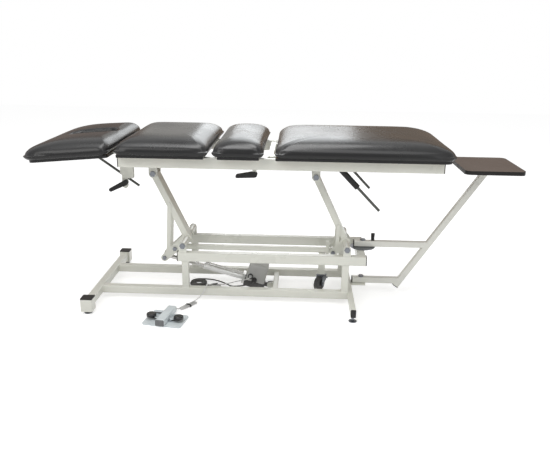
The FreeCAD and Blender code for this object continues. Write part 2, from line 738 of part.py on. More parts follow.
# Actuator, modelled along +X from its rear pivot
GEAR_D = (MOTOR_D[0] - COVER_LIP[0], MOTOR_D[1] + COVER_LIP[1])
FLANGE_D = (GEAR_D[1], GEAR_D[1] + FLANGE_T)
PUSH_TILT = math.degrees(math.atan2(ROD_PIN[1] - REAR[1], REAR[0] - ROD_PIN[0]))
PUSH_LENGTH = math.hypot(ROD_PIN[0] - REAR[0], ROD_PIN[1] - REAR[1])


def on_actuator(shape):
    shape.rotate(vec(0, 0, 0), Z_AXIS, 180)
    shape.rotate(vec(0, 0, 0), Y_AXIS, PUSH_TILT)
    shape.translate(vec(REAR[0], 0, REAR[1]))
    return shape


def along(d_span, radius, p=0.0):
    """Return a cylinder along the actuator's axis."""
    return Part.makeCylinder(radius, d_span[1] - d_span[0], vec(d_span[0], 0, p), X_AXIS)


def actuator_tube():
    flange = box(FLANGE_D, span(0, FLANGE_W), span(0, FLANGE_W))
    barrel = along((FLANGE_D[1], OUTER_END), OUTER_R)
    collar = along((OUTER_END - COLLAR_L, OUTER_END), COLLAR_R)
    body = joined([flange, barrel, collar])
    return on_actuator(body.cut(along((FLANGE_D[1], OUTER_END), PUSH_R + PUSH_GAP)))


def actuator_gearbox():
    case = box(GEAR_D, span(0, GEAR_W), GEAR_P)
    case = case.makeFillet(GEAR_ROUND, [edge for edge in case.Edges if edge.BoundBox.ZMax < GEAR_P[1]])
    neck = box((0, GEAR_D[0] + GEAR_ROUND), span(0, REAR_EYE_T), (-REAR_EYE_R, GEAR_P[1]))
    body = joined([case, neck, pin_y((0, 0), span(0, REAR_EYE_T), REAR_EYE_R)])
    return on_actuator(body.cut(pin_y((0, 0), span(0, REAR_EYE_T), LINK_R + RUN)))


def actuator_motor_cover():
    cover = box(MOTOR_D, span(0, MOTOR_W), MOTOR_P)
    raised = [edge for edge in cover.Edges if edge.BoundBox.ZMax > MOTOR_P[0] + FIT]
    return on_actuator(cover.makeFillet(MOTOR_ROUND, raised))


def actuator_grommets():
    """Return the cable entries on the near side of the motor cover, wide enough for the actuator's swing."""
    face = (MOTOR_W / 2, MOTOR_W / 2 + GROMMET_L)
    rings = []
    for place in GROMMETS:
        rings.append(pin_y(place, face, GROMMET_R).cut(pin_y(place, face, GROMMET_BORE_R)))
    return on_actuator(group(rings))


def actuator_guide_rod():
    rod = along((FLANGE_D[1], GUIDE_END), GUIDE_R, GUIDE_P)
    clip_d = (GUIDE_END - COLLAR_L - GUIDE_CLIP, GUIDE_END - COLLAR_L)
    clip = box(clip_d, span(0, 2 * GUIDE_CLIP), (0, GUIDE_P + GUIDE_CLIP))
    clip = clip.cut(along(clip_d, OUTER_R + FIT)).cut(along(clip_d, GUIDE_R + FIT, GUIDE_P))
    return on_actuator(group([rod] + clip.Solids))


def actuator_rod():
    eye = pin_y((PUSH_LENGTH, 0), span(0, ROD_EYE_T), ROD_EYE_R)
    body = joined([along((PUSH_START, PUSH_LENGTH - ROD_EYE_R / 2), PUSH_R), eye])
    return on_actuator(body.cut(pin_y((PUSH_LENGTH, 0), span(0, ROD_EYE_T), LINK_R + RUN)))


# Top frame
BOARD_Z = TOP_Z + TOP_H
CUSHION_Z = BOARD_Z + BOARD_T
TOP_MID_Y = TOP_Y + TOP_W / 2
CROSS_TOP = TOP_Z + CROSS_H
CROSS_X = (TOP_LEFT + CROSS_INSET[0], CROSS_MID_X, TOP_RIGHT - CROSS_INSET[1])
LEFT_CROSS_FACE = CROSS_X[0] - CROSS_W / 2
CHEEK_Y = (HEAD_ROD_R + CHEEK_GAP, HEAD_ROD_R + CHEEK_GAP + PLATE)
SLIDER_XS = (CROSS_X[1], UPPER[1][0], CROSS_X[2])
LEVER_SLOT_Y = span((LEVER_Y[0] + LEVER_Y[1]) / 2, PLATE + 2 * PLATE_GAP)


def top_rails():
    rail = tube(vec(TOP_LEFT, TOP_MID_Y, TOP_Z + TOP_H / 2), vec(TOP_RIGHT, TOP_MID_Y, TOP_Z + TOP_H / 2),
                Y_AXIS, TOP_W, TOP_H)
    return group(pair(rail))


def top_caps():
    z = TOP_Z + TOP_H / 2
    head = cap(vec(TOP_LEFT, TOP_MID_Y, z), -X_AXIS, Y_AXIS, TOP_W, TOP_H)
    foot = cap(vec(TOP_RIGHT, TOP_MID_Y, z), X_AXIS, Y_AXIS, TOP_W, TOP_H)
    return group(pair(head) + pair(foot))


def top_cross_tubes():
    tubes = []
    z = TOP_Z + CROSS_H / 2
    for x in CROSS_X + tuple(place[0] for place in UPPER):
        tubes.append(tube(vec(x, -TOP_Y, z), vec(x, TOP_Y, z), X_AXIS, CROSS_W, CROSS_H))
    return group(tubes)


def leg_hangers():
    plates = []
    for place in UPPER:
        plate = tab(place, HANGER_R, TOP_Z, HANGER_Y).cut(pin_y(place, HANGER_Y, PIVOT_R + FIT))
        plates.extend(pair(plate))
    return group(plates)


def top_pivot_bolts():
    return group([through_bolt(place, HANGER_Y[1], PIVOT_R) for place in UPPER])


def clamp_cheeks():
    """Return the two plates that guide the head rod; the near one has a lug for the clamp screw."""
    low, high = CHEEK_Z
    corners = ((LEFT_CROSS_FACE, high), (CHEEK_LEFT, high), (CHEEK_LEFT, low + CHEEK_CUT),
               (CHEEK_LEFT + CHEEK_CUT, low), (LEFT_CROSS_FACE, low), (LEFT_CROSS_FACE, high))
    outline = Part.makePolygon([vec(x, CHEEK_Y[0], z) for x, z in corners])
    far = Part.Face(outline).extrude(Y_AXIS * PLATE)
    lug_r = (LUG_X[1] - LUG_X[0]) / 2
    lug_y = (-CHEEK_Y[1], -CHEEK_Y[0])
    lug = tab((LUG_X[0] + lug_r, LUG_Z + lug_r), lug_r, low + CHEEK_CUT, lug_y)
    near = joined([mirrored(far), lug]).cut(pin_y(CLAMP, lug_y, CLAMP_R + FIT))
    screw = pin_y(CLAMP, (-CHEEK_Y[1] - CLAMP_HUB_Y, -CHEEK_Y[0]), CLAMP_R)
    return group([far, near, screw])


def slider_pads():
    pads = []
    for x in SLIDER_XS:
        middle = CARRIAGE_Y + CARRIAGE_T / 2
        pad = box(span(x, CROSS_W), span(middle, 2 * CARRIAGE_T), (CROSS_TOP, CROSS_TOP + SLIDER_H))
        pads.extend(pair(pad))
    return group(pads)


def lever_bracket():
    """Return the ear under the near rail and the pin that carries the release lever."""
    ear_y = (LEVER_SLOT_Y[0] + PLATE_GAP, LEVER_SLOT_Y[1] - PLATE_GAP)
    ear = tab(LEVER, LEVER_BLOCK_R - CORNER, TOP_Z, ear_y).cut(pin_y(LEVER, ear_y, LEVER_PIN_R + FIT))
    return group([ear, pin_y(LEVER, LEVER_Y, LEVER_PIN_R)])


def release_lever():
    body = link(LEVER, LEVER_BLOCK_R, LEVER_END, LEVER_END_R, LEVER_Y)
    slot = box(span(LEVER[0], LEVER_SLOT), LEVER_SLOT_Y, span(LEVER[1], LEVER_SLOT))
    return body.cut(slot).cut(pin_y(LEVER, LEVER_Y, LEVER_PIN_R + RUN))


# Boards and cushions
def plan_wire(x_span, half_y, corners, inset, z):
    """Return the outline of a top at one level: left and right corner radii, drawn in by an inset."""
    left = x_span[0] + inset
    right = x_span[1] - inset
    half = half_y - inset
    radii = [max(corner - inset, SMALL_CORNER) for corner in corners]
    turns = ((right, half, radii[1], 0), (left, half, radii[0], 90), (left, -half, radii[0], 180),
             (right, -half, radii[1], 270))
    edges = []
    ends = []
    for x, y, radius, start in turns:
        middle = vec(x - math.copysign(radius, x - (left + right) / 2), y - math.copysign(radius, y), z)
        points = []
        for eighth in range(3):
            turn = math.radians(start + 45 * eighth)
            points.append(middle + vec(radius * math.cos(turn), radius * math.sin(turn), 0))
        edges.append(Part.Arc(*points).toShape())
        ends.append((points[0], points[2]))
    for index in range(4):
        edges.insert(2 * index + 1, Part.makeLine(ends[index][1], ends[(index + 1) % 4][0]))
    return Part.Wire(edges)


def cushion(x_span, corners, reach=(CROWN, CROWN)):
    """Return a padded top: drawn-in sides below its widest level and an elliptic crown above it.

    The crown reaches in from each end of the span by its own length.
    """
    wires = [plan_wire(x_span, TABLE_HALF, corners, inset, CUSHION_Z + height) for height, inset in DRAWN_IN]
    for step in range(CROWN_STEPS + 1):
        turn = math.radians(90 * step / CROWN_STEPS)
        share = 1 - math.cos(turn)
        height = WIDEST + (CUSHION_H - WIDEST) * math.sin(turn)
        level = (x_span[0] + (reach[0] - CROWN) * share, x_span[1] - (reach[1] - CROWN) * share)
        wires.append(plan_wire(level, TABLE_HALF, corners, CROWN * share, CUSHION_Z + height))
    return Part.makeLoft(wires, True, True)


def board(x_span, corners):
    outline = plan_wire(x_span, TABLE_HALF - BOARD_INSET, corners, 0.0, BOARD_Z)
    return Part.Face(outline).extrude(Z_AXIS * BOARD_T)


SQUARE = (CUSHION_CORNER, CUSHION_CORNER)
BOARD_SQUARE = (SMALL_CORNER, SMALL_CORNER)
TRUNK_BOARD_X = (TRUNK_X[0] + HINGE_END_INSET, TRUNK_X[1] - BOARD_INSET)
HEAD_BOARD_X = (HEAD_X[0] + BOARD_INSET, HEAD_X[1] - HINGE_END_INSET)
LEG_BOARD_X = (LEG_X[0] + HINGE_END_INSET, LEG_X[1] - BOARD_INSET)


def top_boards():
    mid_x = (MID_X[0] + BOARD_INSET, MID_X[1] - BOARD_INSET)
    return group([board(TRUNK_BOARD_X, BOARD_SQUARE), board(mid_x, BOARD_SQUARE)])


def strap(hinge, tail_x, y_span, edge):
    """Return a hinge leaf from its knuckle to the underside of the board that ends at edge."""
    leaf = link(hinge, STRAP_R, (tail_x, BOARD_Z - STRAP_TAIL), STRAP_TAIL, y_span)
    board_side = (edge, tail_x + STRAP_TAIL) if tail_x > edge else (tail_x - STRAP_TAIL, edge)
    return leaf.cut(box(board_side, y_span, (BOARD_Z, CUSHION_Z)))


def knuckles(y_span):
    """Return the spans of a hinge's two fixed knuckles and the moving one between them."""
    third = (y_span[1] - y_span[0]) / 3
    first = (y_span[0], y_span[0] + third - SKIM)
    moving = (y_span[0] + third, y_span[1] - third)
    last = (y_span[1] - third + SKIM, y_span[1])
    return first, moving, last


def head_hinge_straps():
    first, moving, last = knuckles(KNUCKLE_Y)
    pieces = []
    for y_span in (first, last):
        leaf = strap(HEAD_HINGE, TRUNK_BOARD_X[0] + BOARD_INSET, y_span, TRUNK_BOARD_X[0])
        pieces.extend(pair(leaf.cut(pin_y(HEAD_HINGE, y_span, HINGE_PIN_R + FIT))))
    return group(pieces + pair(pin_y(HEAD_HINGE, KNUCKLE_Y, HINGE_PIN_R)))


# Head section, modelled level and turned to its tilt
HEAD_LUG_Y = (HEAD_ROD_R + PLATE_GAP, HEAD_ROD_R + PLATE_GAP + PLATE)


def tilted(shape):
    shape.rotate(vec(HEAD_HINGE[0], 0, HEAD_HINGE[1]), Y_AXIS, -HEAD_TILT)
    return shape


def level_place(place):
    """Return where a place of the tilted head section lies while it is modelled level."""
    arm = vec(place[0] - HEAD_HINGE[0], 0, place[1] - HEAD_HINGE[1])
    turned = FreeCAD.Rotation(Y_AXIS, HEAD_TILT).multVec(arm)
    return (HEAD_HINGE[0] + turned.x, HEAD_HINGE[1] + turned.z)


def face_slot():
    middle = vec((SLOT_X[0] + SLOT_X[1]) / 2, 0, BOARD_Z)
    half_x = (SLOT_X[1] - SLOT_X[0]) / 2
    outline = section_wire(middle, X_AXIS, Y_AXIS, half_x, SLOT_HALF, SLOT_CORNER)
    return Part.Face(outline).extrude(Z_AXIS * (BOARD_T + CUSHION_H))


def head_board():
    corners = [corner - BOARD_INSET for corner in HEAD_CORNERS]
    return tilted(board(HEAD_BOARD_X, corners).cut(face_slot()))


def head_cushion():
    return tilted(cushion(HEAD_X, HEAD_CORNERS, (END_ROLL, CROWN)).cut(face_slot()).Solids[0])


def head_brackets():
    """Return the strap under the face slot, the rod's lugs and pin, and the moving hinge leaves."""
    place = level_place(HEAD_ROD_TOP)
    under = BOARD_Z - PLATE
    bar = box(span(place[0], HEAD_STRAP_W), (-HEAD_STRAP_HALF, HEAD_STRAP_HALF), (under, BOARD_Z))
    lug = tab(place, HEAD_LUG_R, under, HEAD_LUG_Y).cut(pin_y(place, HEAD_LUG_Y, HEAD_PIN_R + FIT))
    pin = pin_y(place, (-HEAD_LUG_Y[1], HEAD_LUG_Y[1]), HEAD_PIN_R)
    moving = knuckles(KNUCKLE_Y)[1]
    leaf = strap(HEAD_HINGE, HEAD_BOARD_X[1] - BOARD_INSET, moving, HEAD_BOARD_X[1])
    leaf = leaf.cut(pin_y(HEAD_HINGE, moving, HINGE_PIN_R + RUN))
    return tilted(group([bar, pin] + pair(lug) + pair(leaf)))


def head_rod():
    top = vec(HEAD_ROD_TOP[0], 0, HEAD_ROD_TOP[1])
    run = vec(HEAD_ROD_END[0], 0, HEAD_ROD_END[1]) - top
    rod = Part.makeCylinder(HEAD_ROD_R, run.Length, top, run)
    eye_y = (-HEAD_ROD_R, HEAD_ROD_R)
    rod = joined([rod, pin_y(HEAD_ROD_TOP, eye_y, HEAD_EYE_R)])
    return rod.cut(pin_y(HEAD_ROD_TOP, eye_y, HEAD_PIN_R + RUN))


def clamp_handle():
    inner = -CHEEK_Y[1] - SKIM
    outer = inner - CLAMP_HUB_Y
    hub = pin_y(CLAMP, (outer, inner), CLAMP_HUB_R)
    grip = link(CLAMP, CLAMP_HUB_R, polar(CLAMP, CLAMP_ANGLE, CLAMP_LENGTH), CLAMP_TIP_R,
                (outer, (outer + inner) / 2))
    return joined([hub, grip]).cut(pin_y(CLAMP, (-CHEEK_Y[1] - CLAMP_HUB_Y, inner), CLAMP_R + RUN))


# Leg section on its carriage
CARRIAGE_Z = (CROSS_TOP + SLIDER_H + SLIDE_GAP, BOARD_Z - SLIDE_GAP)
LOCK_JOINT = polar(LOCK_TOP, LOCK_ANGLE, LOCK_PIVOT)


def carriage_frame():
    side_y = (CARRIAGE_Y, CARRIAGE_Y + CARRIAGE_T)
    side = joined([box(CARRIAGE_X, side_y, CARRIAGE_Z),
                   tab(LOCK_JOINT, LOCK_HANGER_R, CARRIAGE_Z[0], side_y)])
    pieces = pair(side)
    for x in CARRIAGE_BARS:
        pieces.append(box(span(x, CARRIAGE_BAR_W), (-CARRIAGE_Y, CARRIAGE_Y), CARRIAGE_Z))
    bar_face = CARRIAGE_BARS[0] + CARRIAGE_BAR_W / 2
    first, moving, last = knuckles(LEG_KNUCKLE_Y)
    for y_span in (first, last):
        block = box((bar_face, LEG_HINGE[0]), y_span, span(LEG_HINGE[1], 2 * STRAP_R))
        ear = joined([block, pin_y(LEG_HINGE, y_span, STRAP_R)])
        pieces.extend(pair(ear.cut(pin_y(LEG_HINGE, y_span, HINGE_PIN_R + FIT))))
    return group(pieces + pair(pin_y(LEG_HINGE, LEG_KNUCKLE_Y, HINGE_PIN_R)))


def leg_board():
    return board(LEG_BOARD_X, (SMALL_CORNER, LEG_END_CORNER - BOARD_INSET))


def leg_cushion():
    return cushion(LEG_X, (CUSHION_CORNER, LEG_END_CORNER), (CROWN, END_ROLL))


def leg_brackets():
    """Return the moving hinge leaves and the lugs and pins of the lock rods under the leg board."""
    moving = knuckles(LEG_KNUCKLE_Y)[1]
    leaf = strap(LEG_HINGE, LEG_BOARD_X[0] + BOARD_INSET, moving, LEG_BOARD_X[0])
    pieces = pair(leaf.cut(pin_y(LEG_HINGE, moving, HINGE_PIN_R + RUN)))
    inner = LOCK_Y - LOCK_EYE_HALF - PLATE_GAP
    outer = LOCK_Y + LOCK_EYE_HALF + PLATE_GAP
    for y_span in ((inner - LOCK_LUG_T, inner), (outer, outer + LOCK_LUG_T)):
        lug = tab(LOCK_TOP, LOCK_EYE_R, BOARD_Z, y_span)
        pieces.extend(pair(lug.cut(pin_y(LOCK_TOP, y_span, LOCK_PIN_R + FIT))))
    return group(pieces + pair(pin_y(LOCK_TOP, (inner - LOCK_LUG_T, outer + LOCK_LUG_T), LOCK_PIN_R)))


def on_lock(reach):
    place = polar(LOCK_TOP, LOCK_ANGLE, reach)
    return vec(place[0], LOCK_Y, place[1])


def lock_rods():
    run = on_lock(LOCK_LENGTH) - on_lock(0)
    rod = Part.makeCylinder(LOCK_ROD_R, run.Length, on_lock(0), run)
    eye_y = span(LOCK_Y, 2 * LOCK_EYE_HALF)
    eye = joined([rod, pin_y(LOCK_TOP, eye_y, LOCK_EYE_R)])
    return group(pair(eye.cut(pin_y(LOCK_TOP, eye_y, LOCK_PIN_R + RUN))))


def lock_housings():
    """Return the two rod locks; each trunnion stops just short of its carriage hanger."""
    start = on_lock(LOCK_HOUSING[0])
    run = on_lock(LOCK_HOUSING[1]) - start
    shell = Part.makeCylinder(LOCK_HOUSING_R, run.Length, start, run)
    trunnion = pin_y(LOCK_JOINT, (CARRIAGE_Y + CARRIAGE_T + SKIM, LOCK_Y), TRUNNION_R)
    bore = Part.makeCylinder(LOCK_ROD_R + SLIDE_GAP, run.Length, start, run)
    return group(pair(joined([shell, trunnion]).cut(bore)))


# Swing arm with its tray
ARM_MID = (ARM_UP_Z + ARM / 2, ARM_LOW_Z + ARM / 2)
ARM_LEFT = ARM_X - ARM_TAIL
DIAGONAL_FOOT = (ARM_LOW_END, ARM_LOW_Z - DIAGONAL_DROP)
TRAY_PLATE_Z = TRAY_Z - PLATE


def diagonal_axis():
    foot = vec(DIAGONAL_FOOT[0], 0, DIAGONAL_FOOT[1])
    return foot, vec(ARM_TOP_X, 0, TRAY_Z) - foot


def swing_arm_tubes():
    """Return the two arms, the diagonal that they butt against and the plate under the tray."""
    foot, run = diagonal_axis()
    above = box(TRAY_X, (-ARM, ARM), (TRAY_PLATE_Z, TRAY_Z + 2 * ARM))
    diagonal = tube(foot, foot + run + unit(run) * ARM, Y_AXIS, ARM, ARM).cut(above)
    across = vec(*run).normalize().cross(Y_AXIS)
    solid = Part.Face(section_wire(foot, Y_AXIS, across, ARM / 2, ARM / 2, CORNER)).extrude(run)
    arms = []
    for z in ARM_MID:
        end_x = DIAGONAL_FOOT[0] + (z - DIAGONAL_FOOT[1]) * run.x / run.z
        arm = tube(vec(ARM_LEFT, 0, z), vec(end_x, 0, z), Y_AXIS, ARM, ARM).cut(solid)
        arm = max(arm.Solids, key=lambda piece: piece.Volume)
        arms.append(arm.cut(pin_z(ARM_X, 0, span(z, 2 * ARM), PIVOT_R + RUN)))
    arms[0] = arms[0].cut(pin_z(KNOB_X, 0, span(ARM_MID[0], 2 * ARM), KNOB_STEM_R + RUN))
    plate = box(span(ARM_TOP_X, TRAY_PLATE[0]), span(0, TRAY_PLATE[1]), (TRAY_PLATE_Z, TRAY_Z))
    return group(arms + diagonal.Solids + [plate])


def tray_outline(grow):
    middle = vec((TRAY_X[0] + TRAY_X[1]) / 2, 0, TRAY_Z)
    half_x = (TRAY_X[1] - TRAY_X[0]) / 2 - TRAY_EDGE + grow
    return section_wire(middle, X_AXIS, Y_AXIS, half_x, TRAY_HALF - TRAY_EDGE + grow, TRAY_CORNER + grow)


def tray_board():
    return Part.Face(tray_outline(0.0)).extrude(Z_AXIS * TRAY_T)


def swing_arm_trim():
    """Return the tray's edge band and the plugs in the tails of the arms and the foot of the diagonal."""
    band = Part.makeFace([tray_outline(TRAY_EDGE), tray_outline(0.0)], "Part::FaceMakerBullseye")
    pieces = [band.extrude(Z_AXIS * TRAY_T).Solids[0]]
    for z in ARM_MID:
        pieces.append(cap(vec(ARM_LEFT, 0, z), -X_AXIS, Y_AXIS, ARM, ARM))
    foot, run = diagonal_axis()
    pieces.append(cap(foot, -run.normalize(), Y_AXIS, ARM, ARM))
    return group(pieces)


def arm_lock_knob():
    low = MID_TOP + DISC_T + SLIDE_GAP
    seat = ARM_UP_Z + ARM + SLIDE_GAP
    stem = pin_z(KNOB_X, 0, (low, seat), KNOB_STEM_R)
    grip = Part.makeCone(KNOB_R * KNOB_TAPER, KNOB_R, KNOB_H, vec(KNOB_X, 0, seat))
    return joined([stem, grip])


# Foot control, modelled square to the axes and turned as it lies


def on_pedal(shape):
    shape.rotate(vec(0, 0, 0), Z_AXIS, PEDAL_YAW)
    shape.translate(vec(PEDAL[0], PEDAL[1], 0))
    return shape


def pedal_lug(side, y):
    """Return the lug on one side of the box and the pin that carries a pad lever."""
    lug_y = span(y, PAD_BAR_GAP - 2 * PLATE_GAP)
    pin_place = (side * PAD_PIN_X, PAD_PIN_Z)
    reach = sorted((side * PEDAL_BOX_X, side * PAD_PIN_X))
    lug = joined([box(reach, lug_y, span(PAD_PIN_Z, 2 * PAD_EYE_R)), pin_y(pin_place, lug_y, PAD_EYE_R)])
    pin = pin_y(pin_place, span(y, PAD_BAR_GAP + 2 * PAD_BAR_W), PAD_PIN_R)
    return joined([lug, pin])


def pedal_base():
    middle_y = (PEDAL_PLATE_Y[0] + PEDAL_PLATE_Y[1]) / 2
    half_y = (PEDAL_PLATE_Y[1] - PEDAL_PLATE_Y[0]) / 2
    outline = section_wire(vec(0, middle_y, 0), X_AXIS, Y_AXIS, PEDAL_PLATE_X, half_y, 2 * PEDAL_ROUND)
    plate = Part.Face(outline).extrude(Z_AXIS * PEDAL_PLATE_T)
    end = vec(0, PEDAL_BOX_Y[0], PEDAL_PLATE_T + PEDAL_BOX_H / 2)
    profile = Part.Face(section_wire(end, X_AXIS, Z_AXIS, PEDAL_BOX_X, PEDAL_BOX_H / 2, PEDAL_ROUND))
    case = profile.extrude(Y_AXIS * (PEDAL_BOX_Y[1] - PEDAL_BOX_Y[0]))
    roll_z = PEDAL_PLATE_T + ROLL_R - ROLL_FLAT
    roll = Part.makeCylinder(ROLL_R, ROLL_X[1] - ROLL_X[0], vec(ROLL_X[0], ROLL_Y, roll_z), X_AXIS).cut(plate)
    gland = Part.makeCylinder(GLAND_R, GLAND_L, vec(GLAND_X, PEDAL_BOX_Y[1], GLAND_Z), Y_AXIS)
    lugs = [pedal_lug(side, y) for side, y in zip((-1, 1), PAD_Y)]
    return on_pedal(group([plate, case, roll, gland] + lugs))


def pedal_pad(side, y):
    """Return a domed pad on its lever of two bars."""
    pin_place = (side * PAD_PIN_X, PAD_PIN_Z)
    toe = (side * PAD_X[1], PAD_Z - PAD_TOE_R)
    pad = pin_z(toe[0], y, (PAD_Z, PAD_Z + PAD_H), PAD_R)
    rim = [edge for edge in pad.Edges if edge.Closed and edge.BoundBox.ZMin > PAD_Z + FIT]
    pieces = [pad.makeFillet(PAD_FILLET, rim)]
    for hand in (-1, 1):
        bar_y = span(y + hand * (PAD_BAR_GAP + PAD_BAR_W) / 2, PAD_BAR_W)
        pieces.append(link(pin_place, PAD_EYE_R, toe, PAD_TOE_R, bar_y))
    pin_room = span(y, 2 * PAD_R)
    return on_pedal(joined(pieces).cut(pin_y(pin_place, pin_room, PAD_PIN_R + RUN)))


# Cords. Routes are points chosen by hand, from the piece that a stretch leaves to the one that it meets.


def unit(vector):
    return vec(*vector).normalize()


def arc_from(start, heading, end):
    """Return the arc that leaves start along heading and passes through end, or the line if they agree."""
    chord = end - start
    along_chord = unit(chord)
    aside = heading - along_chord * heading.dot(along_chord)
    if aside.Length < TINY:
        return Part.makeLine(start, end)
    turn = math.acos(max(-1.0, min(1.0, heading.dot(along_chord))))
    middle = start + chord * 0.5 + unit(aside) * (chord.Length / 2 * math.tan(turn / 2))
    return Part.Arc(start, middle, end).toShape()


def biarc(first, second):
    """Return two tangent arcs between nodes, each a point and a unit heading."""
    start, leave = first
    end, arrive = second
    chord = end - start
    both = leave + arrive
    spread = 2 * (1 - leave.dot(arrive))
    if spread < TINY and unit(chord).cross(leave).Length < TINY:
        return [Part.makeLine(start, end)]
    if spread < TINY:
        reach = chord.dot(chord) / (2 * chord.dot(both))
    else:
        reach = (-chord.dot(both) + math.sqrt(chord.dot(both) ** 2 + spread * chord.dot(chord))) / spread
    middle = (start + end + (leave - arrive) * reach) * 0.5
    heading = unit(middle - start - leave * reach)
    return [arc_from(start, leave, middle), arc_from(middle, heading, end)]


def round_section(place, heading, radius):
    """Return a regular outline across a cord, as large in area as its round section."""
    side = unit(heading.cross(Z_AXIS))
    reach = radius * math.cos(math.pi / CORD_SIDES / 3)
    corners = []
    for step in range(CORD_SIDES + 1):
        spun = FreeCAD.Rotation(heading, 360 * (step + 0.5) / CORD_SIDES).multVec(side)
        corners.append(place + spun * reach)
    return Part.makePolygon(corners)


def swept(name, edges, start, heading, radius):
    """Return the cord along joined edges and print its volume against its section times its length."""
    section = round_section(start, heading, radius)
    path = Part.Wire(edges)
    cord = path.makePipeShell([section], True, False)
    share = cord.Volume / (Part.Face(section).Area * path.Length)
    print(f"{name}: length {path.Length:.0f} mm, volume over section times length {share:.4f}")
    return cord


def route_cord(name, points, radius):
    """Return a free stretch: straight runs joined by arcs as large as the runs allow."""
    places = [vec(*point) for point in points]
    edges = []
    radii = []
    last = places[0]
    for before, here, after in zip(places, places[1:], places[2:]):
        leave = unit(here - before)
        arrive = unit(after - here)
        half = math.acos(max(-1.0, min(1.0, leave.dot(arrive)))) / 2
        reach = ARC_SHARE * min((here - before).Length, (after - here).Length)
        start = here - leave * reach
        end = here + arrive * reach
        edges.append(Part.makeLine(last, start))
        edges.append(arc_from(start, leave, end))
        radii.append(reach / math.tan(half))
        last = end
    edges.append(Part.makeLine(last, places[-1]))
    print(f"{name}: radii", " ".join(f"{value:.0f}" for value in radii))
    return swept(name, edges, places[0], unit(places[1] - places[0]), radius)


def least_gap(edges, radius):
    """Return the least gap between turns, on points a radius apart along the path."""
    points = []
    for edge in edges:
        points.extend(edge.discretize(Distance=radius)[:-1])
    count = len(points)
    least = min((points[i] - points[j]).Length for i in range(count) for j in range(i + GAP_SKIP, count))
    return least - 2 * radius


def wound_cord(name, nodes, radius):
    """Return a coil or hank as one unbroken tube through its nodes."""
    edges = []
    for first, second in zip(nodes, nodes[1:]):
        edges.extend(biarc(first, second))
    print(f"{name}: least gap between turns {least_gap(edges, radius):.2f} mm")
    return swept(name, edges, nodes[0][0], nodes[0][1], radius)


def coil_nodes():
    """Return the mains coil: in on the floor layer, up at the inner turn and out on the layer above."""
    inner = COIL_R - COIL_PITCH * COIL_TURNS
    last = 2 * COIL_TURNS + CLIMB_TURN
    nodes = []
    for step in range(round(last / QUARTER) + 1):
        turned = step * QUARTER
        radius = inner - CLIMB_PULL * COIL_PITCH
        level = (turned - COIL_TURNS) / CLIMB_TURN
        growth = 0.0
        if turned <= COIL_TURNS:
            radius = COIL_R - COIL_PITCH * turned
            growth = -COIL_PITCH
        elif turned >= COIL_TURNS + CLIMB_TURN:
            radius = inner + COIL_PITCH * (turned - COIL_TURNS - CLIMB_TURN)
            growth = COIL_PITCH
        level = max(0.0, min(1.0, level))
        climb = COIL_PITCH / CLIMB_TURN if 0 < level < 1 else 0.0
        if turned in (0, last):
            growth = 0.0
        angle = math.radians(-90 - 360 * turned)
        out = vec(math.cos(angle), math.sin(angle), 0)
        ahead = vec(math.sin(angle), -math.cos(angle), 0)
        place = vec(COIL[0], COIL[1], COIL_Z + COIL_PITCH * level) + out * radius
        nodes.append((place, unit(ahead * (2 * math.pi * radius) + out * growth + Z_AXIS * climb)))
    return nodes


def hank_side(index):
    """Return a hank side's distance from the middle and its layer."""
    if index < HANK_LOW_SIDES:
        return HANK_R - HANK_PITCH / 2 * index, 0
    inner = HANK_R - HANK_PITCH / 2 * (HANK_LOW_SIDES - 1)
    return inner + HANK_PITCH / 2 * (index - HANK_LOW_SIDES), 1


def hank_nodes():
    """Return the pedal lead's hank: long loops, in on the floor layer and out on the layer above."""
    heading = FreeCAD.Rotation(Z_AXIS, HANK_HEADING)
    ahead = heading.multVec(X_AXIS)
    left = heading.multVec(Y_AXIS)
    centre = vec(HANK_START[0], HANK_START[1], HANK_Z) + ahead * (HANK_RUN / 2) - left * HANK_R
    nodes = []
    for index in range(HANK_SIDES):
        way = 1 if index % 2 == 0 else -1
        aside, layer = hank_side(index)
        side = centre + left * (way * aside) + Z_AXIS * (HANK_PITCH * layer)
        nodes.append((side - ahead * (way * HANK_RUN / 2), ahead * way))
        nodes.append((side + ahead * (way * HANK_RUN / 2), ahead * way))
        if index < HANK_SIDES - 1:
            next_aside, next_layer = hank_side(index + 1)
            radius = (aside + next_aside) / 2
            rise = HANK_PITCH * (next_layer - layer)
            reach = HANK_RUN / 2 + radius - CLIMB_PULL * rise
            apex = centre + ahead * (way * reach) + left * (way * (aside - next_aside) / 2)
            apex = apex + Z_AXIS * (HANK_PITCH * layer + rise / 2)
            nodes.append((apex, unit(left * (-way * math.pi * radius) + Z_AXIS * rise)))
    return nodes


def gland_end():
    place = FreeCAD.Rotation(Z_AXIS, PEDAL_YAW).multVec(vec(GLAND_X, PEDAL_BOX_Y[1] + GLAND_L, GLAND_Z))
    return tuple(place + vec(PEDAL[0], PEDAL[1], 0))


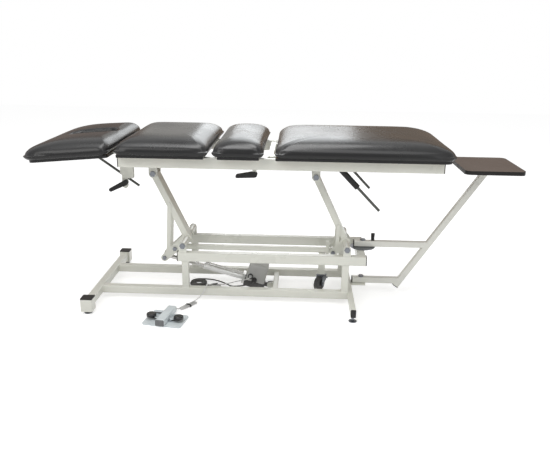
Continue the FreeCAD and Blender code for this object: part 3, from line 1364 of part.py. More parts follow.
def mains_plug():
    """Return the plug's body, narrowed to the lead, with its two blades and earth pin."""
    x, y, z = MAINS_TAIL[0]
    neck = section_wire(vec(x, y, z), Y_AXIS, Z_AXIS, PLUG_SLEEVE, PLUG_SLEEVE, MAINS_R)
    waist = section_wire(vec(x + PLUG_NECK, y, z), Y_AXIS, Z_AXIS, PLUG_WAIST[0], PLUG_WAIST[1], MAINS_R)
    front = section_wire(vec(x + PLUG_L, y, z), Y_AXIS, Z_AXIS, PLUG_W / 2, PLUG_H / 2, MAINS_R)
    body = Part.makeLoft([neck, waist, front], True, True)
    face = x + PLUG_L
    blades = []
    for hand in (-1, 1):
        blades.append(box((face, face + BLADE[0]), span(y + hand * BLADE_Y, BLADE[1]),
                          span(z - EARTH_Z / 2, BLADE[2])))
    earth = Part.makeCylinder(EARTH_R, EARTH_L, vec(face, y, z + EARTH_Z), X_AXIS)
    return group([body, earth] + blades)


def cords():
    """Return the two leads: each free stretch, the coil, the hank and the plug."""
    coil = coil_nodes()
    hank = hank_nodes()
    start = (gland_end(),) + PEDAL_START + (tuple(hank[0][0]),)
    return {
        "mains_plug": mains_plug(),
        "mains_lead_tail": route_cord("mains_lead_tail", MAINS_TAIL, MAINS_R),
        "mains_lead_coil": wound_cord("mains_lead_coil", coil, MAINS_R),
        "mains_lead_run": route_cord("mains_lead_run", MAINS_RUN, MAINS_R),
        "pedal_lead_start": route_cord("pedal_lead_start", start, PEDAL_LEAD_R),
        "pedal_lead_hank": wound_cord("pedal_lead_hank", hank, PEDAL_LEAD_R),
        "pedal_lead_run": route_cord("pedal_lead_run", (tuple(hank[-1][0]),) + PEDAL_RUN, PEDAL_LEAD_R),
    }


# Whole table
def base_nodes():
    brackets = pivot_tabs().Solids + actuator_mount().Solids + [arm_bracket()]
    return {
        "base_rails": base_rails(), "base_cross_feet": base_cross_feet(), "base_posts": base_posts(),
        "mid_frame": mid_frame(), "base_caps": base_caps(), "levelling_feet": levelling_feet(),
        "base_brackets": group(brackets), "leg_pivot_bolts": leg_pivot_bolts(),
        "arm_index_disc": arm_index_disc(), "arm_pivot_pins": arm_pivot_pins(),
    }


def foot_control_nodes():
    return {
        "pedal_base": pedal_base(), "pedal_pad_left": pedal_pad(-1, PAD_Y[0]),
        "pedal_pad_right": pedal_pad(1, PAD_Y[1]),
    }


def lift_nodes():
    return {
        "head_leg": group([leg_tube(0)] + leg_hinges(0).Solids),
        "head_leg_cranks": leg_cranks(0, ROD_PIN, HEAD_BRACE, (TIE_PINS[0], ROD_PIN)),
        "head_crank_bolts": head_crank_bolts(),
        "foot_leg": group([leg_tube(1)] + leg_hinges(1).Solids),
        "foot_leg_cranks": leg_cranks(1, TIE_PINS[1], FOOT_BRACE, (TIE_PINS[1],)),
        "foot_crank_bolt": foot_crank_bolt(),
        "tie_bar": tie_bar(), "caster_post": caster_post(), "caster_fork": caster_fork(),
        "caster_wheel": caster_wheel(), "caster_brake": caster_brake(),
        "actuator_tube": actuator_tube(), "actuator_motor_cover": actuator_motor_cover(),
        "actuator_gearbox": group([actuator_gearbox()] + actuator_grommets().Solids),
        "actuator_guide_rod": actuator_guide_rod(), "actuator_rod": actuator_rod(),
    }


def top_nodes():
    brackets = leg_hangers().Solids + clamp_cheeks().Solids + slider_pads().Solids + lever_bracket().Solids
    return {
        "top_rails": top_rails(), "top_caps": top_caps(), "top_cross_tubes": top_cross_tubes(),
        "top_brackets": group(brackets + head_hinge_straps().Solids), "top_pivot_bolts": top_pivot_bolts(),
        "top_boards": top_boards(), "trunk_cushion": cushion(TRUNK_X, SQUARE),
        "mid_cushion": cushion(MID_X, SQUARE), "release_lever": release_lever(),
        "head_board": head_board(), "head_brackets": head_brackets(), "head_cushion": head_cushion(),
        "head_rod": head_rod(), "clamp_handle": clamp_handle(), "carriage_frame": carriage_frame(),
        "leg_board": leg_board(), "leg_brackets": leg_brackets(), "leg_cushion": leg_cushion(),
        "lock_rods": lock_rods(), "lock_housings": lock_housings(),
    }


def arm_nodes():
    return {
        "swing_arm_tubes": swing_arm_tubes(), "tray_board": tray_board(), "swing_arm_trim": swing_arm_trim(),
        "arm_lock_knob": arm_lock_knob(),
    }


def build_table():
    """Return the table's nodes, as modelled, and apart from them its leads with what lies on them."""
    table_nodes = {**base_nodes(), **lift_nodes(), **top_nodes(), **arm_nodes()}
    return table_nodes, {**foot_control_nodes(), **cords()}


def origin_of(table_nodes):
    """Return the bottom centre of the table without its leads and foot control."""
    bounds = group(list(table_nodes.values())).BoundBox
    return vec(bounds.Center.x, bounds.Center.y, bounds.ZMin)


def main():
    table_nodes, lead_nodes = build_table()
    origin = origin_of(table_nodes)
    os.makedirs("parts", exist_ok=True)
    for name, shape in {**table_nodes, **lead_nodes}.items():
        shape.translate(-origin)
        shape.exportStep(f"parts/{name}.step")


if __name__ == "__main__":
    main()
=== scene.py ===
"""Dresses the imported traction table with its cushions, leads, finishes, light and camera."""

from __future__ import annotations

import json
import logging
import math
from dataclasses import dataclass, field
from enum import Enum
from typing import Callable, Sequence

import bmesh
import bpy
from mathutils import Matrix, Vector, noise

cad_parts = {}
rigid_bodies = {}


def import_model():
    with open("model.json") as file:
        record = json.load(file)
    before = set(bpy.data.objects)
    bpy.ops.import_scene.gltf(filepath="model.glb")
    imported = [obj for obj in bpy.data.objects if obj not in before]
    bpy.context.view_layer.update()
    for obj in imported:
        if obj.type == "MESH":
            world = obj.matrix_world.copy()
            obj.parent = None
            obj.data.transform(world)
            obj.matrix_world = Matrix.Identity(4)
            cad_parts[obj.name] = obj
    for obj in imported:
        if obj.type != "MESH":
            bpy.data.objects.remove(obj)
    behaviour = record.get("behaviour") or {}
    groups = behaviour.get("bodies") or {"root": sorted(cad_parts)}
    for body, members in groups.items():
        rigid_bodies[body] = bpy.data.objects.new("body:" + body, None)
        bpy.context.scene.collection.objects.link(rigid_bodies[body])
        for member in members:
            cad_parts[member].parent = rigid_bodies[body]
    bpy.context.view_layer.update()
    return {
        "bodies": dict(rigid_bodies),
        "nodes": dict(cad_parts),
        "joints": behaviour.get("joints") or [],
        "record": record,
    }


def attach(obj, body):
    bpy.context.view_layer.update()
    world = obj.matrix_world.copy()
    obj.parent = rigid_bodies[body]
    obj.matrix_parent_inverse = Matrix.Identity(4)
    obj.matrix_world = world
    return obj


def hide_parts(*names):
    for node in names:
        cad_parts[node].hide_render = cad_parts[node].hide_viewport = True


LOG = logging.getLogger("traction_table")
MM = 0.001
ORIGIN_X = -101.72410680136034      # the table's own zero lies this far from the row's, in mm

Spot = tuple[float, float]
Point = tuple[float, float, float]
Colour = tuple[float, float, float]
Inputs = dict[str | int, object]

Node, Socket = bpy.types.Node, bpy.types.NodeSocket

WHITE: Colour = (1.0, 1.0, 1.0)

VALUE, VECTOR, COLOUR = "NodeSocketFloat", "NodeSocketVector", "NodeSocketColor"


def row(x: float, y: float, z: float) -> Vector:
    """Returns a place given in the table's millimetres as metres in the row frame."""
    return Vector(((x - ORIGIN_X) * MM, y * MM, z * MM))


def level_axes(degrees: float) -> tuple[Vector, Vector]:
    """Returns the level directions along a heading and to its left."""
    turn = math.radians(degrees)
    return Vector((math.cos(turn), math.sin(turn), 0.0)), Vector((-math.sin(turn), math.cos(turn), 0.0))


def add_object(name: str, data: bpy.types.ID) -> bpy.types.Object:
    """Returns a new object in the scene."""
    made = bpy.data.objects.new(name, data)
    bpy.context.scene.collection.objects.link(made)
    return made


def lofted(name: str, rings: Sequence[Sequence[Vector]], capped: bool,
           weld: float = 0.0) -> bpy.types.Object:
    """Returns a mesh piece through rings of as many points each.

    Args:
        name: The piece's name.
        rings: The rings, in metres in the row frame.
        capped: Whether the end rings are filled; otherwise the last ring joins the first.
        weld: How near two points have to be to become one, in metres.

    Returns:
        The piece, in the scene.
    """
    bm = bmesh.new()
    loops = [[bm.verts.new(place) for place in ring] for ring in rings]
    pairs = list(zip(loops, loops[1:]))
    if not capped:
        pairs.append((loops[-1], loops[0]))
    for lower, upper in pairs:
        for index in range(len(lower)):
            after = (index + 1) % len(lower)
            bm.faces.new((lower[index], lower[after], upper[after], upper[index]))
    if capped:
        bm.faces.new(list(reversed(loops[0])))
        bm.faces.new(loops[-1])
    if weld > 0.0:
        bmesh.ops.remove_doubles(bm, verts=bm.verts, dist=weld)
    bmesh.ops.recalc_face_normals(bm, faces=bm.faces)
    mesh = bpy.data.meshes.new(name)
    bm.to_mesh(mesh)
    bm.free()
    return add_object(name, mesh)


def tube_curve(name: str, radius: float, resolution: int) -> bpy.types.Curve:
    """Returns an empty round curve with filled ends, its radius in mm."""
    curve = bpy.data.curves.new(name, "CURVE")
    curve.dimensions = "3D"
    curve.bevel_depth = radius * MM
    curve.bevel_resolution = resolution
    curve.use_fill_caps = True
    return curve


def neighbours(mesh: bpy.types.Mesh) -> list[list[int]]:
    """Returns, for each point of a mesh, the points that an edge joins to it."""
    beside: list[list[int]] = [[] for _ in mesh.vertices]
    for edge in mesh.edges:
        first, second = edge.vertices
        beside[first].append(second)
        beside[second].append(first)
    return beside


def rgba(colour: Colour) -> tuple[float, float, float, float]:
    """Returns a colour with a full alpha."""
    return (*colour, 1.0)


class Wiring:
    """Adds nodes to one node tree and links them."""

    def __init__(self, tree: bpy.types.NodeTree) -> None:
        """Keeps the tree that the nodes go into."""
        self.tree = tree

    def add(self, kind: str, inputs: Inputs | None = None, **settings: object) -> Node:
        """Adds a node and sets its properties, values and links.

        Args:
            kind: The node's type name.
            inputs: Values or output sockets for the node's inputs, by name or index.
            settings: Properties of the node itself.

        Returns:
            The new node.
        """
        node = self.tree.nodes.new(kind)
        for name, value in settings.items():
            setattr(node, name, value)
        self.feed(node, inputs or {})
        return node

    def feed(self, node: Node, inputs: Inputs) -> None:
        """Sets or links a node's inputs, by name or index."""
        for key, value in inputs.items():
            if isinstance(value, Socket):
                self.tree.links.new(value, node.inputs[key])
            else:
                node.inputs[key].default_value = value

    def group(self, tree: bpy.types.NodeTree, inputs: Inputs) -> Node:
        """Places a shared group and sets its inputs."""
        return self.add("ShaderNodeGroup", inputs, node_tree=tree)

    def math(self, operation: str, first: object, second: object = 0.0, clamp: bool = False) -> Socket:
        """Returns the output of a math node."""
        node = self.add("ShaderNodeMath", {0: first, 1: second}, operation=operation, use_clamp=clamp)
        return node.outputs[0]

    def ramp(self, value: Socket, low: float, high: object, bottom: float, top: float) -> Socket:
        """Returns a value mapped smoothly from low..high to bottom..top."""
        node = self.add("ShaderNodeMapRange", {0: value, 1: low, 2: high, 3: bottom, 4: top},
                        interpolation_type="SMOOTHSTEP")
        return node.outputs[0]

    def mix(self, share: object, first: object, second: object) -> Socket:
        """Returns two colours mixed by a share."""
        node = self.add("ShaderNodeMix", {0: share, 6: first, 7: second}, data_type="RGBA")
        return node.outputs[2]

    def noise(self, vector: Socket, scale: object, detail: float = 3.0, rough: float = 0.5) -> Socket:
        """Returns a noise value over the surface."""
        node = self.add("ShaderNodeTexNoise", {"Vector": vector, "Scale": scale, "Detail": detail,
                                               "Roughness": rough})
        return node.outputs["Fac"]


def bare_material(name: str) -> tuple[bpy.types.Material, Wiring]:
    """Returns a material without nodes, and the wiring of its tree."""
    made = bpy.data.materials.new(name)
    made.use_nodes = True
    made.node_tree.nodes.clear()
    return made, Wiring(made.node_tree)


class SharedEffects:
    """Node groups for the effects that several finishes use; each is built once."""

    def __init__(self) -> None:
        """Builds the groups."""
        self.mottle = self._mottle()
        self.pebble = self._pebble()
        self.scuffs = self._scuffs()
        self.brushed = self._brushed()
        self.floor_dust = self._floor_dust()

    @staticmethod
    def _group(name: str, inputs: Sequence[tuple[str, str, object]], outputs: Sequence[tuple[str, str]]
               ) -> tuple[Wiring, bpy.types.NodeOutputs, Node]:
        """Starts a group with named sockets, the place on the surface first.

        Args:
            name: The group's name.
            inputs: Name, socket type and default of each further input.
            outputs: Name and socket type of each output.

        Returns:
            The tree's wiring, the sockets that bring the inputs, and the node that takes the outputs.
        """
        tree = bpy.data.node_groups.new(name, "ShaderNodeTree")
        tree.interface.new_socket("Vector", in_out="INPUT", socket_type=VECTOR)
        for label, kind, default in inputs:
            socket = tree.interface.new_socket(label, in_out="INPUT", socket_type=kind)
            socket.default_value = default
        for label, kind in outputs:
            tree.interface.new_socket(label, in_out="OUTPUT", socket_type=kind)
        wiring = Wiring(tree)
        return wiring, wiring.add("NodeGroupInput").outputs, wiring.add("NodeGroupOutput")

    def _mottle(self) -> bpy.types.NodeTree:
        """Returns a group that drifts between two tones in soft patches."""
        wiring, given, leave = self._group(
            "ToneMottle",
            [("Scale", VALUE, 4.0), ("Light", COLOUR, (1, 1, 1, 1)), ("Dark", COLOUR, (0, 0, 0, 1))],
            [("Color", COLOUR), ("Mask", VALUE)])
        broad = wiring.noise(given["Vector"], given["Scale"], 4.0, 0.55)
        mask = wiring.ramp(broad, 0.3, 0.7, 0.0, 1.0)
        wiring.feed(leave, {"Color": wiring.mix(mask, given["Dark"], given["Light"]), "Mask": mask})
        return wiring.tree

    def _pebble(self) -> bpy.types.NodeTree:
        """Returns a group with the pebbled height of embossed vinyl, rubber or textured plastic."""
        wiring, given, leave = self._group(
            "PebbleGrain", [("Scale", VALUE, 700.0), ("Crease", VALUE, 0.35)], [("Height", VALUE)])
        wobble = wiring.add("ShaderNodeTexNoise",
                            {"Vector": given["Vector"], "Scale": 180.0, "Detail": 2.0})
        nudge = wiring.add("ShaderNodeVectorMath", {0: wobble.outputs["Color"], "Scale": 0.002},
                           operation="SCALE")
        shifted = wiring.add("ShaderNodeVectorMath", {0: given["Vector"], 1: nudge.outputs[0]},
                             operation="ADD")
        cells = wiring.add("ShaderNodeTexVoronoi", {"Vector": shifted.outputs[0], "Scale": given["Scale"]},
                           feature="DISTANCE_TO_EDGE")
        creases = wiring.ramp(cells.outputs["Distance"], 0.0, given["Crease"], 0.0, 1.0)
        fine = wiring.noise(given["Vector"], 2600.0, 2.0)
        wiring.feed(leave, {"Height": wiring.math("ADD", creases, wiring.math("MULTIPLY", fine, 0.25))})
        return wiring.tree

    def _scuffs(self) -> bpy.types.NodeTree:
        """Returns a group with sparse rubbed marks."""
        wiring, given, leave = self._group(
            "ScuffMarks", [("Scale", VALUE, 30.0), ("Amount", VALUE, 0.3)], [("Mask", VALUE)])
        stretched = wiring.add("ShaderNodeMapping", {"Vector": given["Vector"], "Scale": (0.35, 1.0, 1.6)})
        streaks = wiring.noise(stretched.outputs[0], given["Scale"], 5.0, 0.65)
        patches = wiring.noise(given["Vector"], 5.0, 2.0)
        both = wiring.math("MULTIPLY", wiring.ramp(streaks, 0.6, 0.78, 0.0, 1.0),
                           wiring.ramp(patches, 0.45, 0.65, 0.0, 1.0))
        wiring.feed(leave, {"Mask": wiring.math("MULTIPLY", both, given["Amount"], clamp=True)})
        return wiring.tree

    def _brushed(self) -> bpy.types.NodeTree:
        """Returns a group with fine drawn lines for plated and drawn metal."""
        wiring, given, leave = self._group(
            "DrawnLines", [("Stretch", VECTOR, (1.0, 1.0, 1.0)), ("Scale", VALUE, 200.0)],
            [("Height", VALUE), ("Mask", VALUE)])
        drawn = wiring.add("ShaderNodeVectorMath", {0: given["Vector"], 1: given["Stretch"]},
                           operation="MULTIPLY")
        lines = wiring.noise(drawn.outputs[0], given["Scale"], 4.0, 0.6)
        blotches = wiring.noise(given["Vector"], 45.0, 3.0)
        mask = wiring.math("ADD", wiring.math("MULTIPLY", lines, 0.6),
                           wiring.math("MULTIPLY", blotches, 0.4))
        wiring.feed(leave, {"Height": lines, "Mask": mask})
        return wiring.tree

    def _floor_dust(self) -> bpy.types.NodeTree:
        """Returns a group with the dust that gathers near the floor."""
        wiring, given, leave = self._group(
            "FloorDust", [("Top", VALUE, 0.12), ("Amount", VALUE, 0.3)], [("Mask", VALUE)])
        height = wiring.add("ShaderNodeSeparateXYZ", {0: given["Vector"]}).outputs["Z"]
        fade = wiring.ramp(height, 0.0, given["Top"], 1.0, 0.0)
        speckle = wiring.noise(given["Vector"], 26.0, 6.0, 0.7)
        mask = wiring.math("MULTIPLY", wiring.math("MULTIPLY", fade, speckle), given["Amount"], clamp=True)
        wiring.feed(leave, {"Mask": mask})
        return wiring.tree


@dataclass(frozen=True)
class Finish:
    """What the finishes have in common: two tones, a roughness range and the shader's plain values."""

    name: str
    light: Colour
    dark: Colour
    roughness: Spot = (0.35, 0.45)
    metallic: float = 0.0
    specular: float = 0.5
    coat: float = 0.0
    coat_roughness: float = 0.15
    patch_scale: float = 4.0

    def material(self, effects: SharedEffects) -> bpy.types.Material:
        """Builds the material.

        Args:
            effects: The shared node groups.

        Returns:
            The finished material.
        """
        made, wiring = bare_material(self.name)
        shader = wiring.add("ShaderNodeBsdfPrincipled", {
            "Metallic": self.metallic, "Specular IOR Level": self.specular, "Coat Weight": self.coat,
            "Coat Roughness": self.coat_roughness})
        wiring.add("ShaderNodeOutputMaterial", {"Surface": shader.outputs["BSDF"]}, is_active_output=True)
        place = wiring.add("ShaderNodeTexCoord").outputs["Object"]
        self.dress(wiring, shader, place, effects)
        LOG.info("finish %s", self.name)
        return made

    def dress(self, wiring: Wiring, shader: Node, place: Socket, effects: SharedEffects) -> None:
        """Wires colour, roughness and surface relief; each kind of finish has its own."""
        raise NotImplementedError

    def tones(self, wiring: Wiring, place: Socket, effects: SharedEffects) -> Node:
        """Returns the mottle group set to this finish's two tones."""
        return wiring.group(effects.mottle, {
            "Vector": place, "Scale": self.patch_scale, "Light": rgba(self.light), "Dark": rgba(self.dark)})

    def gloss(self, wiring: Wiring, tone: Node, marks: Node, share: float) -> Socket:
        """Returns the roughness over the two tones, with a share more where there are marks."""
        plain = wiring.ramp(tone.outputs["Mask"], 0.0, 1.0, *self.roughness)
        return wiring.math("ADD", plain, wiring.math("MULTIPLY", marks.outputs["Mask"], share), clamp=True)

    @staticmethod
    def _join(wiring: Wiring, shader: Node, colour: Socket, gloss: Socket, height: Socket,
              depth: float) -> None:
        """Links colour, roughness and a relief of a given depth in metres to the shader."""
        bump = wiring.add("ShaderNodeBump", {"Strength": 1.0, "Distance": depth, "Height": height})
        wiring.feed(shader, {"Base Color": colour, "Roughness": gloss, "Normal": bump.outputs["Normal"]})


@dataclass(frozen=True)
class PaintFinish(Finish):
    """Powder coat: soft patches, orange peel, a few rubbed marks and dust near the floor."""

    peel_depth: float = 0.00004
    scuff: float = 0.25
    rubbed: Colour = (0.55, 0.55, 0.52)
    dust: float = 0.35
    dust_tone: Colour = (0.45, 0.43, 0.39)

    def dress(self, wiring: Wiring, shader: Node, place: Socket, effects: SharedEffects) -> None:
        """Wires the coat's colour, gloss and peel."""
        tone = self.tones(wiring, place, effects)
        rub = wiring.group(effects.scuffs, {"Vector": place, "Scale": 34.0, "Amount": self.scuff})
        dust = wiring.group(effects.floor_dust, {"Vector": place, "Top": 0.11, "Amount": self.dust})
        colour = wiring.mix(rub.outputs["Mask"], tone.outputs["Color"], rgba(self.rubbed))
        colour = wiring.mix(dust.outputs["Mask"], colour, rgba(self.dust_tone))
        gloss = self.gloss(wiring, tone, dust, 0.6)
        self._join(wiring, shader, colour, gloss, wiring.noise(place, 420.0, 2.0), self.peel_depth)


@dataclass(frozen=True)
class GrainFinish(Finish):
    """Embossed vinyl, rubber and textured plastic: a pebbled surface with worn lighter marks."""

    grain_scale: float = 700.0
    grain_depth: float = 0.00008
    crease: float = 0.3
    scuff: float = 0.15
    rubbed: Colour = (0.09, 0.09, 0.09)
    dust: float = 0.0
    dust_tone: Colour = (0.3, 0.29, 0.27)

    def dress(self, wiring: Wiring, shader: Node, place: Socket, effects: SharedEffects) -> None:
        """Wires the tones, the wear and the grain."""
        tone = self.tones(wiring, place, effects)
        grain = wiring.group(effects.pebble, {"Vector": place, "Scale": self.grain_scale,
                                              "Crease": self.crease})
        rub = wiring.group(effects.scuffs, {"Vector": place, "Scale": 40.0, "Amount": self.scuff})
        colour = wiring.mix(rub.outputs["Mask"], tone.outputs["Color"], rgba(self.rubbed))
        if self.dust > 0.0:
            dust = wiring.group(effects.floor_dust, {"Vector": place, "Top": 0.08, "Amount": self.dust})
            colour = wiring.mix(dust.outputs["Mask"], colour, rgba(self.dust_tone))
        gloss = self.gloss(wiring, tone, rub, 0.25)
        self._join(wiring, shader, colour, gloss, grain.outputs["Height"], self.grain_depth)


@dataclass(frozen=True)
class MetalFinish(Finish):
    """Plated, drawn or blackened metal: lines along the part, blotches and handling marks."""

    stretch: Point = (0.05, 1.0, 1.0)
    line_scale: float = 420.0
    line_depth: float = 0.00002

    def dress(self, wiring: Wiring, shader: Node, place: Socket, effects: SharedEffects) -> None:
        """Wires the metal's tone, its drawn lines and its gloss."""
        drawn = wiring.group(effects.brushed, {"Vector": place, "Stretch": self.stretch,
                                               "Scale": self.line_scale})
        tone = wiring.mix(drawn.outputs["Mask"], rgba(self.dark), rgba(self.light))
        gloss = wiring.ramp(drawn.outputs["Mask"], 0.3, 0.7, *self.roughness)
        self._join(wiring, shader, tone, gloss, drawn.outputs["Height"], self.line_depth)


@dataclass(frozen=True)
class LaminateFinish(Finish):
    """Brown laminate: a fine matt speckle over a slow drift of tone."""

    speck: Colour = (0.1, 0.07, 0.055)

    def dress(self, wiring: Wiring, shader: Node, place: Socket, effects: SharedEffects) -> None:
        """Wires the speckle and the fine emboss."""
        tone = self.tones(wiring, place, effects)
        dots = wiring.noise(place, 520.0, 2.0, 0.6)
        colour = wiring.mix(wiring.ramp(dots, 0.52, 0.72, 0.0, 0.8), tone.outputs["Color"],
                            rgba(self.speck))
        rub = wiring.group(effects.scuffs, {"Vector": place, "Scale": 60.0, "Amount": 0.3})
        gloss = self.gloss(wiring, tone, rub, 0.3)
        self._join(wiring, shader, colour, gloss, dots, 0.00003)


@dataclass(frozen=True)
class PlywoodFinish(Finish):
    """Sealed plywood: long grain on the faces and ply lines on the edges."""

    ply: float = 0.0015
    glue: Colour = (0.05, 0.032, 0.02)

    def dress(self, wiring: Wiring, shader: Node, place: Socket, effects: SharedEffects) -> None:
        """Wires the grain, the plies and the seal coat."""
        tone = self.tones(wiring, place, effects)
        drawn = wiring.group(effects.brushed, {"Vector": place, "Stretch": (0.06, 1.0, 1.0), "Scale": 90.0})
        colour = wiring.mix(wiring.math("MULTIPLY", drawn.outputs["Mask"], 0.5), tone.outputs["Color"],
                            rgba(self.glue))
        height = wiring.add("ShaderNodeSeparateXYZ", {0: place}).outputs["Z"]
        layer = wiring.math("PINGPONG", height, self.ply)
        upright = wiring.add("ShaderNodeNewGeometry").outputs["Normal"]
        face = wiring.add("ShaderNodeSeparateXYZ", {0: upright}).outputs["Z"]
        edge = wiring.ramp(wiring.math("ABSOLUTE", face), 0.3, 0.8, 1.0, 0.0)
        line = wiring.ramp(layer, 0.0, self.ply * 0.5, 0.7, 0.0)
        colour = wiring.mix(wiring.math("MULTIPLY", line, edge), colour, rgba(self.glue))
        gloss = wiring.ramp(drawn.outputs["Mask"], 0.2, 0.8, *self.roughness)
        self._join(wiring, shader, colour, gloss, drawn.outputs["Height"], 0.0001)


class Coat(Enum):
    """The finishes of this table, by what they are on."""

    FRAME = PaintFinish("frame_powder_coat", (0.78, 0.785, 0.715), (0.72, 0.725, 0.66), (0.26, 0.36),
                        coat=0.25, coat_roughness=0.12, patch_scale=3.0)
    ARM = PaintFinish("arm_powder_coat", (0.775, 0.775, 0.72), (0.715, 0.715, 0.66), (0.24, 0.34),
                      coat=0.3, coat_roughness=0.1, patch_scale=3.0, dust=0.0)
    VINYL = GrainFinish("black_vinyl", (0.0105, 0.0105, 0.011), (0.0065, 0.0065, 0.007), (0.24, 0.30),
                        specular=0.32, patch_scale=5.0, grain_scale=620.0, grain_depth=0.000018,
                        rubbed=(0.03, 0.03, 0.03), scuff=0.08)
    CAP = GrainFinish("cap_plastic", (0.014, 0.0135, 0.0135), (0.008, 0.008, 0.008), (0.38, 0.5),
                      specular=0.3, patch_scale=20.0, grain_scale=900.0, dust=0.2)
    GRIP = GrainFinish("grip_plastic", (0.011, 0.011, 0.011), (0.006, 0.006, 0.006), (0.35, 0.48),
                       specular=0.3, patch_scale=25.0, grain_scale=1100.0)
    PAD = GrainFinish("pedal_rubber", (0.012, 0.012, 0.013), (0.007, 0.007, 0.008), (0.16, 0.26),
                      patch_scale=30.0, grain_scale=1400.0, grain_depth=0.00003)
    MOTOR = GrainFinish("motor_cover_plastic", (0.52, 0.52, 0.505), (0.45, 0.45, 0.44), (0.42, 0.55),
                        patch_scale=12.0, grain_scale=1300.0, grain_depth=0.00005,
                        rubbed=(0.5, 0.5, 0.49))
    GEARBOX = GrainFinish("gearbox_plastic", (0.075, 0.075, 0.075), (0.05, 0.05, 0.052), (0.45, 0.58),
                          patch_scale=18.0, grain_scale=1200.0, dust=0.3, rubbed=(0.16, 0.16, 0.16))
    PEDAL = PaintFinish("pedal_enamel", (0.70, 0.76, 0.78), (0.62, 0.68, 0.71), (0.25, 0.36), coat=0.2,
                        patch_scale=14.0, peel_depth=0.00002, dust=0.15, rubbed=(0.36, 0.38, 0.39))
    BOX_FACE = GrainFinish("pedal_box_end", (0.16, 0.165, 0.17), (0.12, 0.125, 0.13), (0.4, 0.5),
                           patch_scale=40.0, grain_scale=1500.0, rubbed=(0.24, 0.24, 0.25))
    ZINC = MetalFinish("zinc_plate", (0.235, 0.245, 0.265), (0.13, 0.14, 0.155), (0.24, 0.38),
                       metallic=1.0, stretch=(1.0, 1.0, 1.0), line_scale=160.0)
    ROD = MetalFinish("dark_rod_steel", (0.105, 0.108, 0.10), (0.055, 0.057, 0.053), (0.28, 0.4),
                      metallic=1.0, stretch=(0.08, 1.0, 0.08))
    SHAFT = MetalFinish("push_rod_chrome", (0.58, 0.575, 0.56), (0.42, 0.415, 0.40), (0.14, 0.24),
                        metallic=1.0)
    ALUMINIUM = MetalFinish("drawn_aluminium", (0.72, 0.72, 0.71), (0.56, 0.56, 0.55), (0.28, 0.4),
                            metallic=1.0)
    NICKEL = MetalFinish("plug_nickel", (0.46, 0.45, 0.43), (0.34, 0.33, 0.31), (0.28, 0.4), metallic=1.0,
                         stretch=(0.2, 1.0, 1.0))
    TYRE = GrainFinish("caster_tread", (0.075, 0.075, 0.075), (0.05, 0.05, 0.05), (0.5, 0.65),
                       patch_scale=30.0, grain_scale=1000.0, dust=0.4, rubbed=(0.15, 0.15, 0.15))
    LAMINATE = LaminateFinish("tray_laminate", (0.066, 0.043, 0.030), (0.052, 0.034, 0.024), (0.5, 0.6),
                              patch_scale=6.0, speck=(0.095, 0.068, 0.054))
    BAND = GrainFinish("tray_edge_band", (0.010, 0.009, 0.008), (0.006, 0.0055, 0.005), (0.35, 0.46),
                       specular=0.25, patch_scale=20.0, grain_scale=1000.0)
    PLYWOOD = PlywoodFinish("sealed_plywood", (0.22, 0.15, 0.09), (0.155, 0.10, 0.06), (0.5, 0.65),
                            patch_scale=6.0)
    MAINS = GrainFinish("mains_cable", (0.05, 0.05, 0.05), (0.032, 0.032, 0.032), (0.38, 0.5),
                        patch_scale=20.0, grain_scale=1600.0, grain_depth=0.00003, dust=0.25)
    LEAD = GrainFinish("pedal_cable", (0.70, 0.70, 0.695), (0.62, 0.62, 0.615), (0.36, 0.48),
                       patch_scale=20.0, grain_scale=1600.0, grain_depth=0.00003, dust=0.1,
                       rubbed=(0.62, 0.62, 0.61))
    TIE = GrainFinish("cable_tie", (0.03, 0.03, 0.03), (0.018, 0.018, 0.018), (0.5, 0.65),
                      patch_scale=40.0, grain_scale=1800.0)


class Finishes:
    """Makes each material when it is first asked for."""

    def __init__(self) -> None:
        """Builds the shared effects."""
        self.effects = SharedEffects()
        self._made: dict[Coat, bpy.types.Material] = {}

    def of(self, coat: Coat) -> bpy.types.Material:
        """Returns the material of a coat."""
        if coat not in self._made:
            self._made[coat] = coat.value.material(self.effects)
        return self._made[coat]


NODE_COATS: dict[Coat, tuple[str, ...]] = {
    Coat.FRAME: ("base_rails", "base_cross_feet", "base_posts", "mid_frame", "base_brackets", "head_leg",
                 "head_leg_cranks", "foot_leg", "foot_leg_cranks", "tie_bar", "caster_post", "top_rails",
                 "top_cross_tubes", "top_brackets", "carriage_frame", "head_brackets", "leg_brackets"),
    Coat.ARM: ("swing_arm_tubes",),
    Coat.CAP: ("base_caps", "top_caps"),
    Coat.GRIP: ("clamp_handle", "release_lever", "arm_lock_knob", "lock_housings", "mains_plug"),
    Coat.PAD: ("pedal_pad_left", "pedal_pad_right"),
    Coat.ZINC: ("levelling_feet", "leg_pivot_bolts", "arm_index_disc", "arm_pivot_pins", "head_crank_bolts",
                "foot_crank_bolt", "top_pivot_bolts", "caster_fork", "caster_brake"),
    Coat.ROD: ("head_rod", "lock_rods"),
    Coat.SHAFT: ("actuator_rod", "actuator_guide_rod"),
    Coat.ALUMINIUM: ("actuator_tube",),
    Coat.MOTOR: ("actuator_motor_cover",),
    Coat.GEARBOX: ("actuator_gearbox",),
    Coat.TYRE: ("caster_wheel",),
    Coat.LAMINATE: ("tray_board",),
    Coat.BAND: ("swing_arm_trim",),
    Coat.PLYWOOD: ("top_boards", "head_board", "leg_board"),
    Coat.PEDAL: ("pedal_base",),
}

